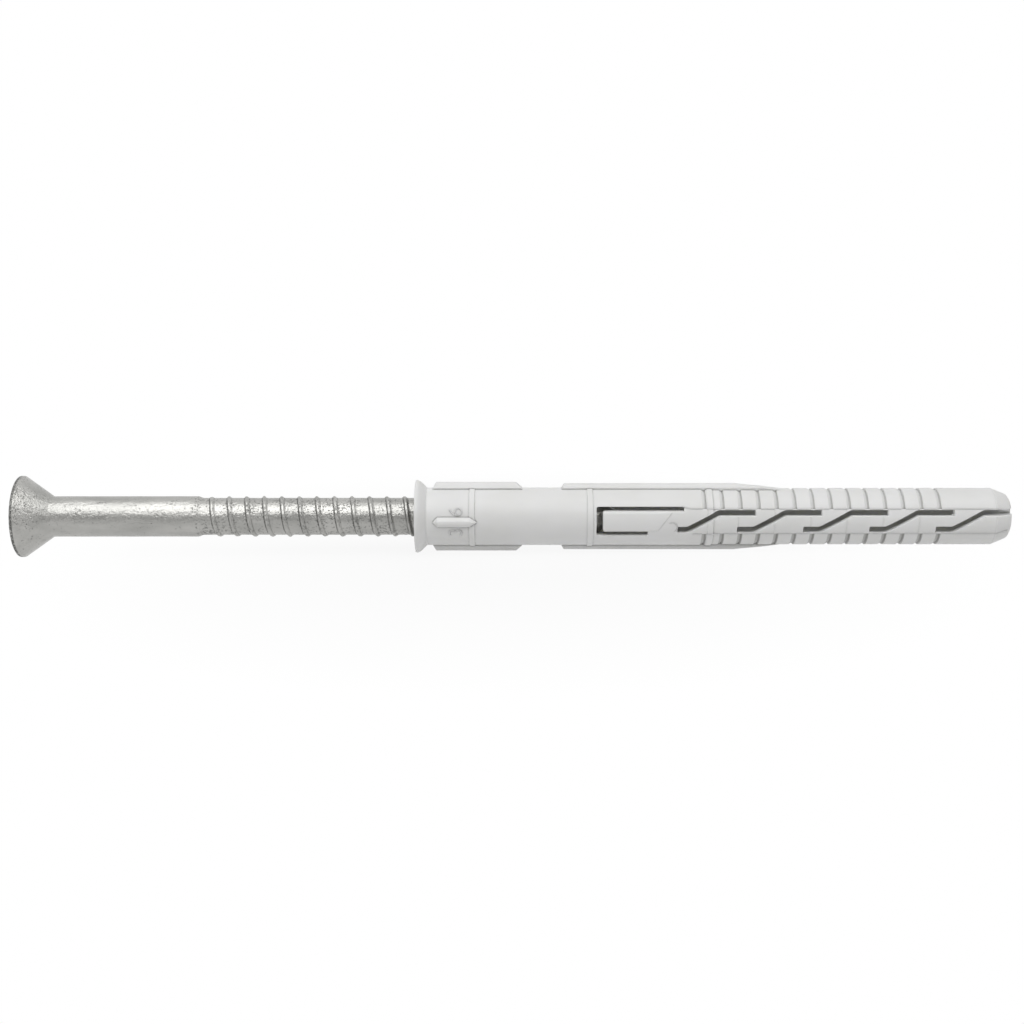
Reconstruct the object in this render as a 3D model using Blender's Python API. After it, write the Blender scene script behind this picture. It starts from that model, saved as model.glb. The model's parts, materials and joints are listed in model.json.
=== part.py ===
"""Frame fixing: a countersunk screw, pre-fitted in a ribbed and slotted plastic expansion sleeve.

Both pieces are drawn along their own X axis, head or collar first, and share one axis. The whole
fixing then lies on the ground as it would come to rest, on the rim of its head and on one long rib.
Sizes are in metres. Distances along the sleeve start at the front of its collar, and distances along
the screw at the face of its head.
"""

import math

import bmesh
import bpy
from mathutils import Matrix

MM = 0.001

# Screw: head and shank
HEAD_RADIUS = 6.88 * MM
HEAD_HALF_ANGLE = math.radians(35.2)
HEAD_LAND = 0.62 * MM
HEAD_EDGE = 0.12 * MM
SHANK_RADIUS = 3.40 * MM
SHANK_END = 30.05 * MM
SHANK_TAPER = 1.0 * MM
NECK_FILLET = 0.7 * MM

# Screw: six-lobe drive recess
DRIVE_MEAN_RADIUS = 2.88 * MM
DRIVE_LOBE = 0.45 * MM
DRIVE_LOBES = 6
DRIVE_DEPTH = 3.3 * MM
DRIVE_POINT_DEPTH = 0.9 * MM
DRIVE_POINT_RADIUS = 0.864 * MM

# Screw: thread and point
CORE_RADIUS = 3.10 * MM
THREAD_HEIGHT = 0.29 * MM
THREAD_PITCH = 2.97 * MM
THREAD_BASE = 0.86 * MM
THREAD_CREST = 0.34 * MM
FIRST_CREST = 2.37 * MM
THREAD_RUN_IN = 2.0 * MM
POINT_LENGTH = 5.0 * MM
POINT_FLAT = 0.45 * MM

# Sleeve: tube
SLEEVE_LENGTH = 100.0 * MM
BORE_CLEARANCE = 0.20 * MM
WALL = 1.26 * MM
GRIP_STEP = 0.10 * MM
TIP_CHAMFER = 2.85 * MM
TIP_CHAMFER_DROP = 1.04 * MM
TIP_EDGE = 0.35 * MM
TIP_EDGE_DROP = 0.70 * MM
TIP_BORE_TAPER = 5.0 * MM
TIP_BORE_RADIUS = 1.3 * MM

# Sleeve: collar and the recess that takes the screw's head
COLLAR_OVERHANG = 1.28 * MM
COLLAR_LAND = 0.60 * MM
COLLAR_EDGE = 0.15 * MM
COLLAR_LIP = 0.54 * MM

# Sleeve: raised rings, two of them by where they start and the last one close behind the first groove
RING_STARTS = (9.04 * MM, 28.8 * MM)
LAST_RING_GAP = 0.14 * MM
RING_WIDTH = 1.0 * MM
RING_HEIGHT = 0.16 * MM
RING_SLOPE = 0.10 * MM

# Sleeve: the four long ribs, above and below, with upright shoulders and sloped sides
RIB_WIDTH = 1.9 * MM
RIB_ROOT = 0.55 * MM
RIB_SHOULDER = 0.20 * MM
RIB_SIDE_SLOPE = math.radians(36.0)
GUIDE_RIB_START = 2.9 * MM
GUIDE_RIB_RISE = 0.5 * MM
GUIDE_RIB_LENGTH = 15.0 * MM
GUIDE_RIB_FALL = 1.0 * MM
GUIDE_RIB_HEIGHT = 1.02 * MM
KEY_RIB_START = 24.6 * MM
KEY_RIB_RISE = 0.4 * MM
KEY_RIB_LENGTH = 29.3 * MM
KEY_RIB_FALL = 6.8 * MM
KEY_RIB_HEIGHT_FRONT = 0.74 * MM
KEY_RIB_HEIGHT_BACK = 0.77 * MM

# Sleeve: the short pointed ribs, front and back
SHORT_RIB_WIDTH = 1.6 * MM
SHORT_RIB_START = 3.06 * MM
SHORT_RIB_POINT = 0.75 * MM
SHORT_RIB_LENGTH = 5.4 * MM
SHORT_RIB_TAIL = 1.2 * MM
SHORT_RIB_SHOULDER = 0.35 * MM
SHORT_RIB_HEIGHT = 0.84 * MM
SHORT_RIB_RIDGE = 0.5 * MM

# Sleeve: the locking tongues and their U-shaped slots, front and back
TONGUE_SLOT_START = 30.5 * MM
TONGUE_SLOT_END_WIDTH = 0.90 * MM
TONGUE_SLOT_HALF_ANGLE = math.radians(30.3)
TONGUE_HALF_ANGLE = math.radians(20.3)
TONGUE_SHORT_LEG = 8.4 * MM
TONGUE_LONG_LEG = 14.4 * MM
TONGUE_CORNER = 0.35 * MM
LEG_CORNER = 0.12 * MM
TONGUE_PAD_HEIGHT = 0.09 * MM
TONGUE_PAD_SET_BACK = 0.22 * MM
TONGUE_PAD_LENGTH = 8.8 * MM
TONGUE_PAD_SLANT = 2.6 * MM

# Sleeve: zigzag expansion slots, set out from the tip, those at the back a little nearer to it
ZIGZAG_HALF_ANGLE = math.radians(17.5)
ZIGZAG_WIDTH = 0.95 * MM
ZIGZAG_PITCH = 11.0 * MM
ZIGZAG_LAST_START = 13.3 * MM
ZIGZAG_LOW_LEG = 2.8 * MM
ZIGZAG_DIAGONAL = 5.2 * MM
ZIGZAG_LENGTH = 14.1 * MM
ZIGZAG_ZONE_START = 43.8 * MM
ZIGZAG_SHORTEST_LEG = 1.0 * MM
ZIGZAG_END_CORNER = 0.20 * MM
ZIGZAG_OUTER_BEND = 1.6 * MM
ZIGZAG_INNER_BEND = 0.5 * MM
ZIGZAG_STAGGER = 1.5 * MM

# Sleeve: grip grooves, set out from the tip, and the smooth bands that they stop at
GROOVE_PITCH = 3.0 * MM
GROOVE_LAST_EDGE = 12.34 * MM
GROOVE_ZONE_START = 47.6 * MM
GROOVE_WIDTH = 0.80 * MM
GROOVE_DEPTH = 0.37 * MM
GROOVE_STEEP_SIDE = 0.14 * MM
BAND_HALF_ANGLE = math.radians(26.0)

# Fit of the two pieces: as delivered, and driven home
SCREW_STANDOFF = 66.95 * MM
SEAT_CLEARANCE = 0.12 * MM
POINT_MARGIN = 0.7 * MM

# Facets
SCREW_SIDES = 24
BAND_STRIPS = 4
GRIP_STRIPS = 14
CORNER_STEPS = 3
DRIVE_STEPS = 48
LONGEST_ROUNDING = 0.45
THREAD_SNAP = 0.06 * MM
SMOOTH_ANGLE = math.radians(22.0)

# Reach of the cutters past what they cut
CUT_OVER = 1.0 * MM
SLOT_INNER_REACH = 0.5 * MM

# Worked out from the sizes above
THREAD_RADIUS = CORE_RADIUS + THREAD_HEIGHT
BORE_RADIUS = max(SHANK_RADIUS, THREAD_RADIUS) + BORE_CLEARANCE
BODY_RADIUS = BORE_RADIUS + WALL
GRIP_RADIUS = BODY_RADIUS - GRIP_STEP
COLLAR_RADIUS = BODY_RADIUS + COLLAR_OVERHANG
RECESS_RADIUS = COLLAR_RADIUS - COLLAR_LIP
RECESS_DEPTH = (RECESS_RADIUS - BORE_RADIUS) / math.tan(HEAD_HALF_ANGLE)
TIP_RADIUS = GRIP_RADIUS - TIP_CHAMFER_DROP
TIP_FACE_RADIUS = TIP_RADIUS - TIP_EDGE_DROP
GROOVE_ZONE_LENGTH = SLEEVE_LENGTH - GROOVE_LAST_EDGE - GROOVE_WIDTH - GROOVE_ZONE_START
GROOVE_COUNT = math.floor(GROOVE_ZONE_LENGTH / GROOVE_PITCH) + 1
FIRST_GROOVE_EDGE = SLEEVE_LENGTH - GROOVE_LAST_EDGE - (GROOVE_COUNT - 1) * GROOVE_PITCH
LAST_RING_START = FIRST_GROOVE_EDGE + LAST_RING_GAP
SEATED_STANDOFF = HEAD_LAND + (HEAD_RADIUS - RECESS_RADIUS) / math.tan(HEAD_HALF_ANGLE) + SEAT_CLEARANCE
SCREW_LENGTH = SLEEVE_LENGTH + SEATED_STANDOFF - POINT_MARGIN
FLATS_OUT = 1.0 / math.cos(math.pi / SCREW_SIDES)

# The four sides of the sleeve, each as what it does to a feature that is drawn on the front
FRONT = Matrix.Identity(4)
BACK = Matrix.Scale(-1.0, 4, (0.0, 1.0, 0.0))
ABOVE = Matrix.Rotation(-0.5 * math.pi, 4, "X")
BELOW = Matrix.Rotation(0.5 * math.pi, 4, "X")


def clear_scene():
    for item in list(bpy.data.objects):
        bpy.data.objects.remove(item, do_unlink=True)


def make_material(name, colour, roughness, metallic):
    material = bpy.data.materials.new(name)
    material.use_nodes = True
    shader = material.node_tree.nodes["Principled BSDF"]
    shader.inputs["Base Color"].default_value = (*colour, 1.0)
    shader.inputs["Roughness"].default_value = roughness
    shader.inputs["Metallic"].default_value = metallic
    return material


def make_object(name, bm, material=None):
    """Closes the bmesh into a named object. Without a material it is a cutter or a guide."""
    bmesh.ops.recalc_face_normals(bm, faces=bm.faces)
    mesh = bpy.data.meshes.new(name)
    bm.to_mesh(mesh)
    bm.free()
    item = bpy.data.objects.new(name, mesh)
    bpy.context.collection.objects.link(item)
    if material:
        mesh.materials.append(material)
    else:
        item.hide_render = True
        item.display_type = "WIRE"
    return item


def apply_boolean(item, tool, operation):
    """Cuts or joins the tool into the item, and removes the tool."""
    step = item.modifiers.new(operation.lower(), "BOOLEAN")
    step.operation = operation
    step.object = tool
    step.solver = "EXACT"
    depsgraph = bpy.context.evaluated_depsgraph_get()
    result = bpy.data.meshes.new_from_object(item.evaluated_get(depsgraph))
    item.modifiers.remove(step)
    item.data = result
    bpy.data.objects.remove(tool, do_unlink=True)


def shade(item):
    item.data.shade_smooth()
    item.data.set_sharp_from_angle(angle=SMOOTH_ANGLE)


def rounded(corners):
    """The outline through corners of x, z and radius, each one rounded by an arc of its radius."""
    outline = []
    count = len(corners)
    for index, (x, z, radius) in enumerate(corners):
        before = corners[index - 1][:2]
        after = corners[(index + 1) % count][:2]
        to_before = math.dist((x, z), before)
        to_after = math.dist((x, z), after)
        u = ((before[0] - x) / to_before, (before[1] - z) / to_before)
        v = ((after[0] - x) / to_after, (after[1] - z) / to_after)
        half = 0.5 * math.acos(max(-1.0, min(1.0, u[0] * v[0] + u[1] * v[1])))
        reach = min(radius / math.tan(half), LONGEST_ROUNDING * min(to_before, to_after))
        arc = reach * math.tan(half)
        middle = math.hypot(u[0] + v[0], u[1] + v[1])
        to_centre = arc / math.sin(half) / middle
        centre = (x + (u[0] + v[0]) * to_centre, z + (u[1] + v[1]) * to_centre)
        start = math.atan2(z + u[1] * reach - centre[1], x + u[0] * reach - centre[0])
        end = math.atan2(z + v[1] * reach - centre[1], x + v[0] * reach - centre[0])
        turn = (end - start + math.pi) % (2.0 * math.pi) - math.pi
        for step in range(CORNER_STEPS + 1):
            angle = start + turn * step / CORNER_STEPS
            outline.append((centre[0] + arc * math.cos(angle), centre[1] + arc * math.sin(angle)))
    return outline


def loft(bm, sections):
    """A closed solid through sections of equal point count, capped at both ends."""
    loops = [[bm.verts.new(point) for point in section] for section in sections]
    for lower, upper in zip(loops, loops[1:]):
        for index in range(len(lower)):
            after = (index + 1) % len(lower)
            bm.faces.new((lower[index], lower[after], upper[after], upper[index]))
    bm.faces.new(loops[0])
    bm.faces.new(loops[-1])
    return [vert for loop in loops for vert in loop]


def add_feature(bm, sections, side):
    """A loft drawn on the front of the sleeve, put on one of its sides."""
    bmesh.ops.transform(bm, matrix=side, verts=loft(bm, sections))


def add_slot(bm, outline, side):
    """A flat outline pushed through the wall along the mould's pull."""
    depths = (SLOT_INNER_REACH, COLLAR_RADIUS + CUT_OVER)
    add_feature(bm, [[(x, -depth, z) for x, z in outline] for depth in depths], side)


def screw_core(x):
    """The screw's radius without its thread, at a distance from the face of the head."""
    taper = min(max((x - SHANK_END) / SHANK_TAPER, 0.0), 1.0)
    return SHANK_RADIUS + (CORE_RADIUS - SHANK_RADIUS) * taper


def neck_fillet():
    """The arc that joins the head's cone to the shank."""
    cone_end = HEAD_LAND + (HEAD_RADIUS - SHANK_RADIUS) / math.tan(HEAD_HALF_ANGLE)
    centre_x = cone_end + NECK_FILLET * math.tan(0.5 * HEAD_HALF_ANGLE)
    centre_r = SHANK_RADIUS + NECK_FILLET
    angles = [HEAD_HALF_ANGLE * (1.0 - step / CORNER_STEPS) for step in range(CORNER_STEPS + 1)]
    return [(centre_x - NECK_FILLET * math.sin(a), centre_r - NECK_FILLET * math.cos(a)) for a in angles]


def thread_rows():
    """The thread's section over one pitch: distances along the axis, and shares of the height."""
    base = 0.5 * THREAD_BASE
    crest = 0.5 * THREAD_CREST
    return ((-base, 0.0), (-crest, 1.0), (crest, 1.0), (base, 0.0))


def screw_blank():
    """Head, shank, thread and point as one closed skin of rings, with helical rows between them."""
    start = SHANK_END + SHANK_TAPER
    end = SCREW_LENGTH - POINT_LENGTH
    front = [
        (0.0, HEAD_RADIUS - HEAD_EDGE),
        (HEAD_EDGE, HEAD_RADIUS),
        (HEAD_LAND, HEAD_RADIUS),
        *neck_fillet(),
        (SHANK_END, SHANK_RADIUS),
        (start, CORE_RADIUS),
    ]
    point = [(end, CORE_RADIUS), (SCREW_LENGTH, POINT_FLAT)]

    bm = bmesh.new()

    def spot(x, radius, column):
        angle = 2.0 * math.pi * (column + 0.5) / SCREW_SIDES
        reach = radius * FLATS_OUT
        return bm.verts.new((x, reach * math.cos(angle), reach * math.sin(angle)))

    def ring(x, radius):
        return [spot(x, radius, column) for column in range(SCREW_SIDES)]

    front_rings = [ring(x, radius) for x, radius in front]
    point_rings = [ring(x, radius) for x, radius in point]
    for rings in (front_rings, point_rings):
        for lower, upper in zip(rings, rings[1:]):
            for column in range(SCREW_SIDES):
                after = (column + 1) % SCREW_SIDES
                bm.faces.new((lower[column], lower[after], upper[after], upper[column]))
    bm.faces.new(front_rings[0])
    bm.faces.new(point_rings[-1])

    rows = thread_rows()
    # The crest passes straight above the axis, a quarter turn round, at the first crest's distance
    reference = SHANK_END + FIRST_CREST - THREAD_PITCH * (0.25 - 0.5 / SCREW_SIDES)
    first_turn = math.floor((start - reference) / THREAD_PITCH) - 2
    last_turn = math.ceil((end - reference) / THREAD_PITCH) + 2
    made = {}

    def helix_vert(row, column):
        turn, place = divmod(row, len(rows))
        if column == SCREW_SIDES:
            turn, column = turn + 1, 0
        key = (turn, place, column)
        if key not in made:
            along, share = rows[place]
            x = reference + THREAD_PITCH * (turn + column / SCREW_SIDES) + along
            if x < start + THREAD_SNAP:
                made[key] = front_rings[-1][column]
            elif x > end - THREAD_SNAP:
                made[key] = point_rings[0][column]
            else:
                fade = min((x - start) / THREAD_RUN_IN, (end - x) / THREAD_RUN_IN, 1.0)
                made[key] = spot(x, screw_core(x) + THREAD_HEIGHT * share * fade, column)
        return made[key]

    for row in range(first_turn * len(rows), last_turn * len(rows)):
        for column in range(SCREW_SIDES):
            corners = [
                helix_vert(row, column),
                helix_vert(row, column + 1),
                helix_vert(row + 1, column + 1),
                helix_vert(row + 1, column),
            ]
            corners = [vert for index, vert in enumerate(corners) if vert is not corners[index - 1]]
            if len(corners) > 2:
                bm.faces.new(corners)
    return bm


def drive_recess():
    """The six-lobe socket in the head, with a cone at its bottom."""
    outline = []
    for step in range(DRIVE_STEPS):
        angle = 2.0 * math.pi * step / DRIVE_STEPS
        reach = DRIVE_MEAN_RADIUS + DRIVE_LOBE * math.cos(DRIVE_LOBES * angle)
        outline.append((reach * math.cos(angle), reach * math.sin(angle)))
    point_share = DRIVE_POINT_RADIUS / DRIVE_MEAN_RADIUS
    stages = ((-CUT_OVER, 1.0), (DRIVE_DEPTH, 1.0), (DRIVE_DEPTH + DRIVE_POINT_DEPTH, point_share))
    bm = bmesh.new()
    loft(bm, [[(x, y * share, z * share) for y, z in outline] for x, share in stages])
    return bm


def groove_edges():
    """The steep edge of each grip groove."""
    return [FIRST_GROOVE_EDGE + GROOVE_PITCH * index for index in range(GROOVE_COUNT)]


def tube_radius(x):
    """The tube is a little thinner past its last ring."""
    return BODY_RADIUS if x <= LAST_RING_START else GRIP_RADIUS


def groove_corners(edge):
    """The sloped side's rim, the floor and the steep side's rim of one groove."""
    radius = tube_radius(edge)
    return (
        (edge - GROOVE_WIDTH, radius),
        (edge - GROOVE_STEEP_SIDE, radius - GROOVE_DEPTH),
        (edge, radius),
    )


def sleeve_section(grooved):
    """The sleeve's wall as a closed loop of distances and radii, with or without groove floors."""
    section = [
        (0.0, COLLAR_RADIUS - COLLAR_EDGE),
        (COLLAR_EDGE, COLLAR_RADIUS),
        (COLLAR_LAND, COLLAR_RADIUS),
        (COLLAR_LAND + COLLAR_OVERHANG, BODY_RADIUS),
    ]
    outside = []
    for start in (*RING_STARTS, LAST_RING_START):
        outside += [
            (start, tube_radius(start)),
            (start + RING_SLOPE, BODY_RADIUS + RING_HEIGHT),
            (start + RING_WIDTH - RING_SLOPE, BODY_RADIUS + RING_HEIGHT),
            (start + RING_WIDTH, tube_radius(start + RING_WIDTH)),
        ]
    for edge in groove_edges():
        rim, floor, end = groove_corners(edge)
        outside += [rim, floor, end] if grooved else [rim, end]
    section += sorted(outside)
    section += [
        (SLEEVE_LENGTH - TIP_EDGE - TIP_CHAMFER, GRIP_RADIUS),
        (SLEEVE_LENGTH - TIP_EDGE, TIP_RADIUS),
        (SLEEVE_LENGTH, TIP_FACE_RADIUS),
        (SLEEVE_LENGTH, TIP_BORE_RADIUS),
        (SLEEVE_LENGTH - TIP_BORE_TAPER, BORE_RADIUS),
        (RECESS_DEPTH, BORE_RADIUS),
        (0.0, RECESS_RADIUS),
    ]
    return section


def strip_layout():
    """The angle of each edge round the sleeve, and for the strip after it, whether it is grooved."""
    angles = []
    grooved = []
    for middle in (0.0, math.pi):
        for step in range(BAND_STRIPS):
            angles.append(middle - BAND_HALF_ANGLE + 2.0 * BAND_HALF_ANGLE * step / BAND_STRIPS)
            grooved.append(False)
        for step in range(GRIP_STRIPS):
            span = math.pi - 2.0 * BAND_HALF_ANGLE
            angles.append(middle + BAND_HALF_ANGLE + span * step / GRIP_STRIPS)
            grooved.append(True)
    return angles, grooved


def sleeve_tube():
    """The collar, tube and tip, turned strip by strip, so that the grooves stop at the bands."""
    angles, grooved = strip_layout()
    sections = {kind: sleeve_section(kind) for kind in (True, False)}
    count = len(angles)
    bm = bmesh.new()
    made = {}

    def spot(place, column):
        key = (place, column % count)
        if key not in made:
            x, radius = place
            angle = angles[column % count]
            made[key] = bm.verts.new((x, radius * math.cos(angle), radius * math.sin(angle)))
        return made[key]

    for column in range(count):
        section = sections[grooved[column]]
        for place, after in zip(section, section[1:] + section[:1]):
            near = (spot(place, column), spot(after, column))
            far = (spot(after, column + 1), spot(place, column + 1))
            bm.faces.new(near + far)
        if grooved[column] != grooved[column - 1]:
            for edge in groove_edges():
                bm.faces.new([spot(place, column) for place in groove_corners(edge)])
    return bm


def add_long_rib(bm, start, rise, length, fall, height_front, height_back, foot_back, side):
    """A rib with sloped ends, whose root is buried in the wall."""
    shoulder = BODY_RADIUS + RIB_SHOULDER
    back_slope = fall / (BODY_RADIUS + height_back - foot_back)

    def corners(radius_front, radius_back):
        x_front = start + rise * (radius_front - BODY_RADIUS) / height_front
        x_back = start + length + (BODY_RADIUS + height_back - radius_back) * back_slope
        places = []
        for x, radius in ((x_front, radius_front), (x_back, radius_back)):
            half = 0.5 * RIB_WIDTH - max(radius - shoulder, 0.0) * math.tan(RIB_SIDE_SLOPE)
            places.append((x, -radius, half))
        front, back = places
        return [front, back, (*back[:2], -back[2]), (*front[:2], -front[2])]

    root = BODY_RADIUS - RIB_ROOT
    sections = [
        corners(root, root),
        corners(shoulder, shoulder),
        corners(BODY_RADIUS + height_front, BODY_RADIUS + height_back),
    ]
    add_feature(bm, sections, side)


def add_short_rib(bm, side):
    """A boat-shaped rib: pointed ends, straight shoulders and a narrow ridge."""
    half = 0.5 * SHORT_RIB_WIDTH
    start = SHORT_RIB_START
    straight = start + SHORT_RIB_POINT
    straight_end = straight + SHORT_RIB_LENGTH
    end = straight_end + SHORT_RIB_TAIL

    def outline(inset, half_width):
        return [
            (start + inset, 0.0),
            (straight, -half_width),
            (straight_end, -half_width),
            (end - inset, 0.0),
            (straight_end, half_width),
            (straight, half_width),
        ]

    stages = (
        (BODY_RADIUS - RIB_ROOT, outline(0.0, half)),
        (BODY_RADIUS + SHORT_RIB_SHOULDER, outline(0.0, half)),
        (BODY_RADIUS + SHORT_RIB_HEIGHT, outline(SHORT_RIB_POINT, 0.5 * SHORT_RIB_RIDGE)),
    )
    sections = [[(x, -radius, z) for x, z in points] for radius, points in stages]
    add_feature(bm, sections, side)


def add_tongue_pad(bm, side):
    """The tongue's slightly raised face, which ends in a slanted step."""
    inner = BODY_RADIUS - RIB_ROOT
    outer = BODY_RADIUS + TONGUE_PAD_HEIGHT
    start = TONGUE_SLOT_START + TONGUE_SLOT_END_WIDTH + TONGUE_PAD_SET_BACK
    half = TONGUE_HALF_ANGLE - TONGUE_PAD_SET_BACK / BODY_RADIUS
    steps = BAND_STRIPS
    sections = []
    for step in range(steps + 1):
        share = step / steps
        angle = half * (2.0 * share - 1.0)
        end = start + TONGUE_PAD_LENGTH + TONGUE_PAD_SLANT * share
        corners = ((start, inner), (end, inner), (end, outer), (start, outer))
        sections.append([(x, -radius * math.cos(angle), radius * math.sin(angle)) for x, radius in corners])
    add_feature(bm, sections, side)


def sleeve_ribs():
    bm = bmesh.new()
    for side in (ABOVE, BELOW):
        add_long_rib(
            bm, GUIDE_RIB_START, GUIDE_RIB_RISE, GUIDE_RIB_LENGTH - GUIDE_RIB_FALL, GUIDE_RIB_FALL,
            GUIDE_RIB_HEIGHT, GUIDE_RIB_HEIGHT, BODY_RADIUS, side,
        )
        add_long_rib(
            bm, KEY_RIB_START, KEY_RIB_RISE, KEY_RIB_LENGTH, KEY_RIB_FALL,
            KEY_RIB_HEIGHT_FRONT, KEY_RIB_HEIGHT_BACK, GRIP_RADIUS, side,
        )
    for side in (FRONT, BACK):
        add_short_rib(bm, side)
        add_tongue_pad(bm, side)
    return bm


def tongue_slot_outline():
    """The U-shaped slot round three sides of the tongue, with one leg longer than the other."""
    outside = BODY_RADIUS * math.sin(TONGUE_SLOT_HALF_ANGLE)
    inside = BODY_RADIUS * math.sin(TONGUE_HALF_ANGLE)
    start = TONGUE_SLOT_START
    tongue = start + TONGUE_SLOT_END_WIDTH
    return rounded(
        [
            (start, -outside, TONGUE_CORNER),
            (start + TONGUE_SHORT_LEG, -outside, LEG_CORNER),
            (start + TONGUE_SHORT_LEG, -inside, LEG_CORNER),
            (tongue, -inside, TONGUE_CORNER),
            (tongue, inside, TONGUE_CORNER),
            (start + TONGUE_LONG_LEG, inside, LEG_CORNER),
            (start + TONGUE_LONG_LEG, outside, LEG_CORNER),
            (start, outside, TONGUE_CORNER),
        ]
    )


def zigzag_outline(start, low_leg_end, end):
    """A slot of even width along a low leg, a diagonal and a high leg."""
    height = GRIP_RADIUS * math.sin(ZIGZAG_HALF_ANGLE)
    half = 0.5 * ZIGZAG_WIDTH
    diagonal_end = low_leg_end + ZIGZAG_DIAGONAL
    slope = math.atan2(2.0 * height, ZIGZAG_DIAGONAL)
    shift = half * math.tan(0.5 * slope)
    return rounded(
        [
            (start, -height - half, ZIGZAG_END_CORNER),
            (low_leg_end + shift, -height - half, ZIGZAG_OUTER_BEND),
            (diagonal_end + shift, height - half, ZIGZAG_INNER_BEND),
            (end, height - half, ZIGZAG_END_CORNER),
            (end, height + half, ZIGZAG_END_CORNER),
            (diagonal_end - shift, height + half, ZIGZAG_OUTER_BEND),
            (low_leg_end - shift, -height + half, ZIGZAG_INNER_BEND),
            (start, -height + half, ZIGZAG_END_CORNER),
        ]
    )


def zigzag_outlines(stagger):
    """The row of slots from the tip back to the tongue. The last slot is open through the tip."""
    outlines = []
    start = SLEEVE_LENGTH - ZIGZAG_LAST_START + stagger
    end = SLEEVE_LENGTH + CUT_OVER
    while start + ZIGZAG_LOW_LEG - ZIGZAG_SHORTEST_LEG > ZIGZAG_ZONE_START:
        outlines.append(zigzag_outline(max(start, ZIGZAG_ZONE_START), start + ZIGZAG_LOW_LEG, end))
        start -= ZIGZAG_PITCH
        end = start + ZIGZAG_LENGTH
    return outlines


def sleeve_slots():
    bm = bmesh.new()
    for side, stagger in ((FRONT, 0.0), (BACK, ZIGZAG_STAGGER)):
        for outline in [tongue_slot_outline(), *zigzag_outlines(stagger)]:
            add_slot(bm, outline, side)
    return bm


def make_screw():
    zinc = make_material("galvanised_steel", (0.62, 0.62, 0.61), 0.42, 0.9)
    screw = make_object("screw", screw_blank(), zinc)
    apply_boolean(screw, make_object("drive_cutter", drive_recess()), "DIFFERENCE")
    shade(screw)
    return screw


def make_sleeve():
    plastic = make_material("pale_grey_plastic", (0.74, 0.74, 0.73), 0.48, 0.0)
    sleeve = make_object("sleeve", sleeve_tube(), plastic)
    apply_boolean(sleeve, make_object("rib_guide", sleeve_ribs()), "UNION")
    apply_boolean(sleeve, make_object("slot_cutter", sleeve_slots()), "DIFFERENCE")
    shade(sleeve)
    return sleeve


def lying_frame():
    """An empty on the axis at the collar's front, tilted and raised so that the fixing lies on the
    ground, on the rim of its head and on the far end of its lower key rib, centred over the origin."""
    rim_x = HEAD_LAND - SCREW_STANDOFF
    rib_x = KEY_RIB_START + KEY_RIB_LENGTH
    rib_radius = BODY_RADIUS + KEY_RIB_HEIGHT_BACK
    span = rib_x - rim_x
    tilt = math.atan2(HEAD_RADIUS - rib_radius, span)
    low_x = -SCREW_STANDOFF * math.cos(tilt) - (HEAD_RADIUS - HEAD_EDGE) * math.sin(tilt)
    high_x = SLEEVE_LENGTH * math.cos(tilt) + TIP_FACE_RADIUS * math.sin(tilt)
    frame = bpy.data.objects.new("fixing_axis", None)
    bpy.context.collection.objects.link(frame)
    frame.rotation_euler = (0.0, tilt, 0.0)
    frame.location.x = -0.5 * (low_x + high_x)
    frame.location.z = HEAD_RADIUS * math.cos(tilt) + rim_x * math.sin(tilt)
    return frame


def main():
    clear_scene()
    frame = lying_frame()
    sleeve = make_sleeve()
    screw = make_screw()
    sleeve.parent = frame
    screw.parent = frame
    screw.location.x = -SCREW_STANDOFF


main()
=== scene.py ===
"""Looks of the frame fixing: a galvanised screw in a pale grey nylon sleeve, lying on a white floor.

Both pieces are drawn along their own X axis, head or collar first, as the solids are. They are then
laid on the fixing's axis, which is worked out from the frame. Sizes are in metres. On the sleeve, an
angle of 0 is its front side and angles grow upwards.
"""

import json
import math

import bmesh
import bpy
from mathutils import Matrix, Vector, noise


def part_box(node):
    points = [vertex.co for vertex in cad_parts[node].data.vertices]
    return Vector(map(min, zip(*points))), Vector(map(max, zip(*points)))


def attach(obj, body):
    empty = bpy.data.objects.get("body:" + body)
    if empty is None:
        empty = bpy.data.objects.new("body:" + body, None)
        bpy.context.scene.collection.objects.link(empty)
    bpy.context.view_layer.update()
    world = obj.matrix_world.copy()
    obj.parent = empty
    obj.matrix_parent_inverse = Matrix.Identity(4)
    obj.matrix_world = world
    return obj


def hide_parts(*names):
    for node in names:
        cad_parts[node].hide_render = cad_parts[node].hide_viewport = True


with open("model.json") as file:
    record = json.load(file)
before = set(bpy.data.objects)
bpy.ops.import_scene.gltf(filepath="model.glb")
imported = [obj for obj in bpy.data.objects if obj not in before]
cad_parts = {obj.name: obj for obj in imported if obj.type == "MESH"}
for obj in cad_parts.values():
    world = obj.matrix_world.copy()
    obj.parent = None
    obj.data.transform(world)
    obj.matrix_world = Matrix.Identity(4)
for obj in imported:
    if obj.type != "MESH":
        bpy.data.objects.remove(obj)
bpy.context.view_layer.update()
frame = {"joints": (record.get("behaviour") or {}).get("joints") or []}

MM = 0.001
TOLERANCE = 0.01 * MM

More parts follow.
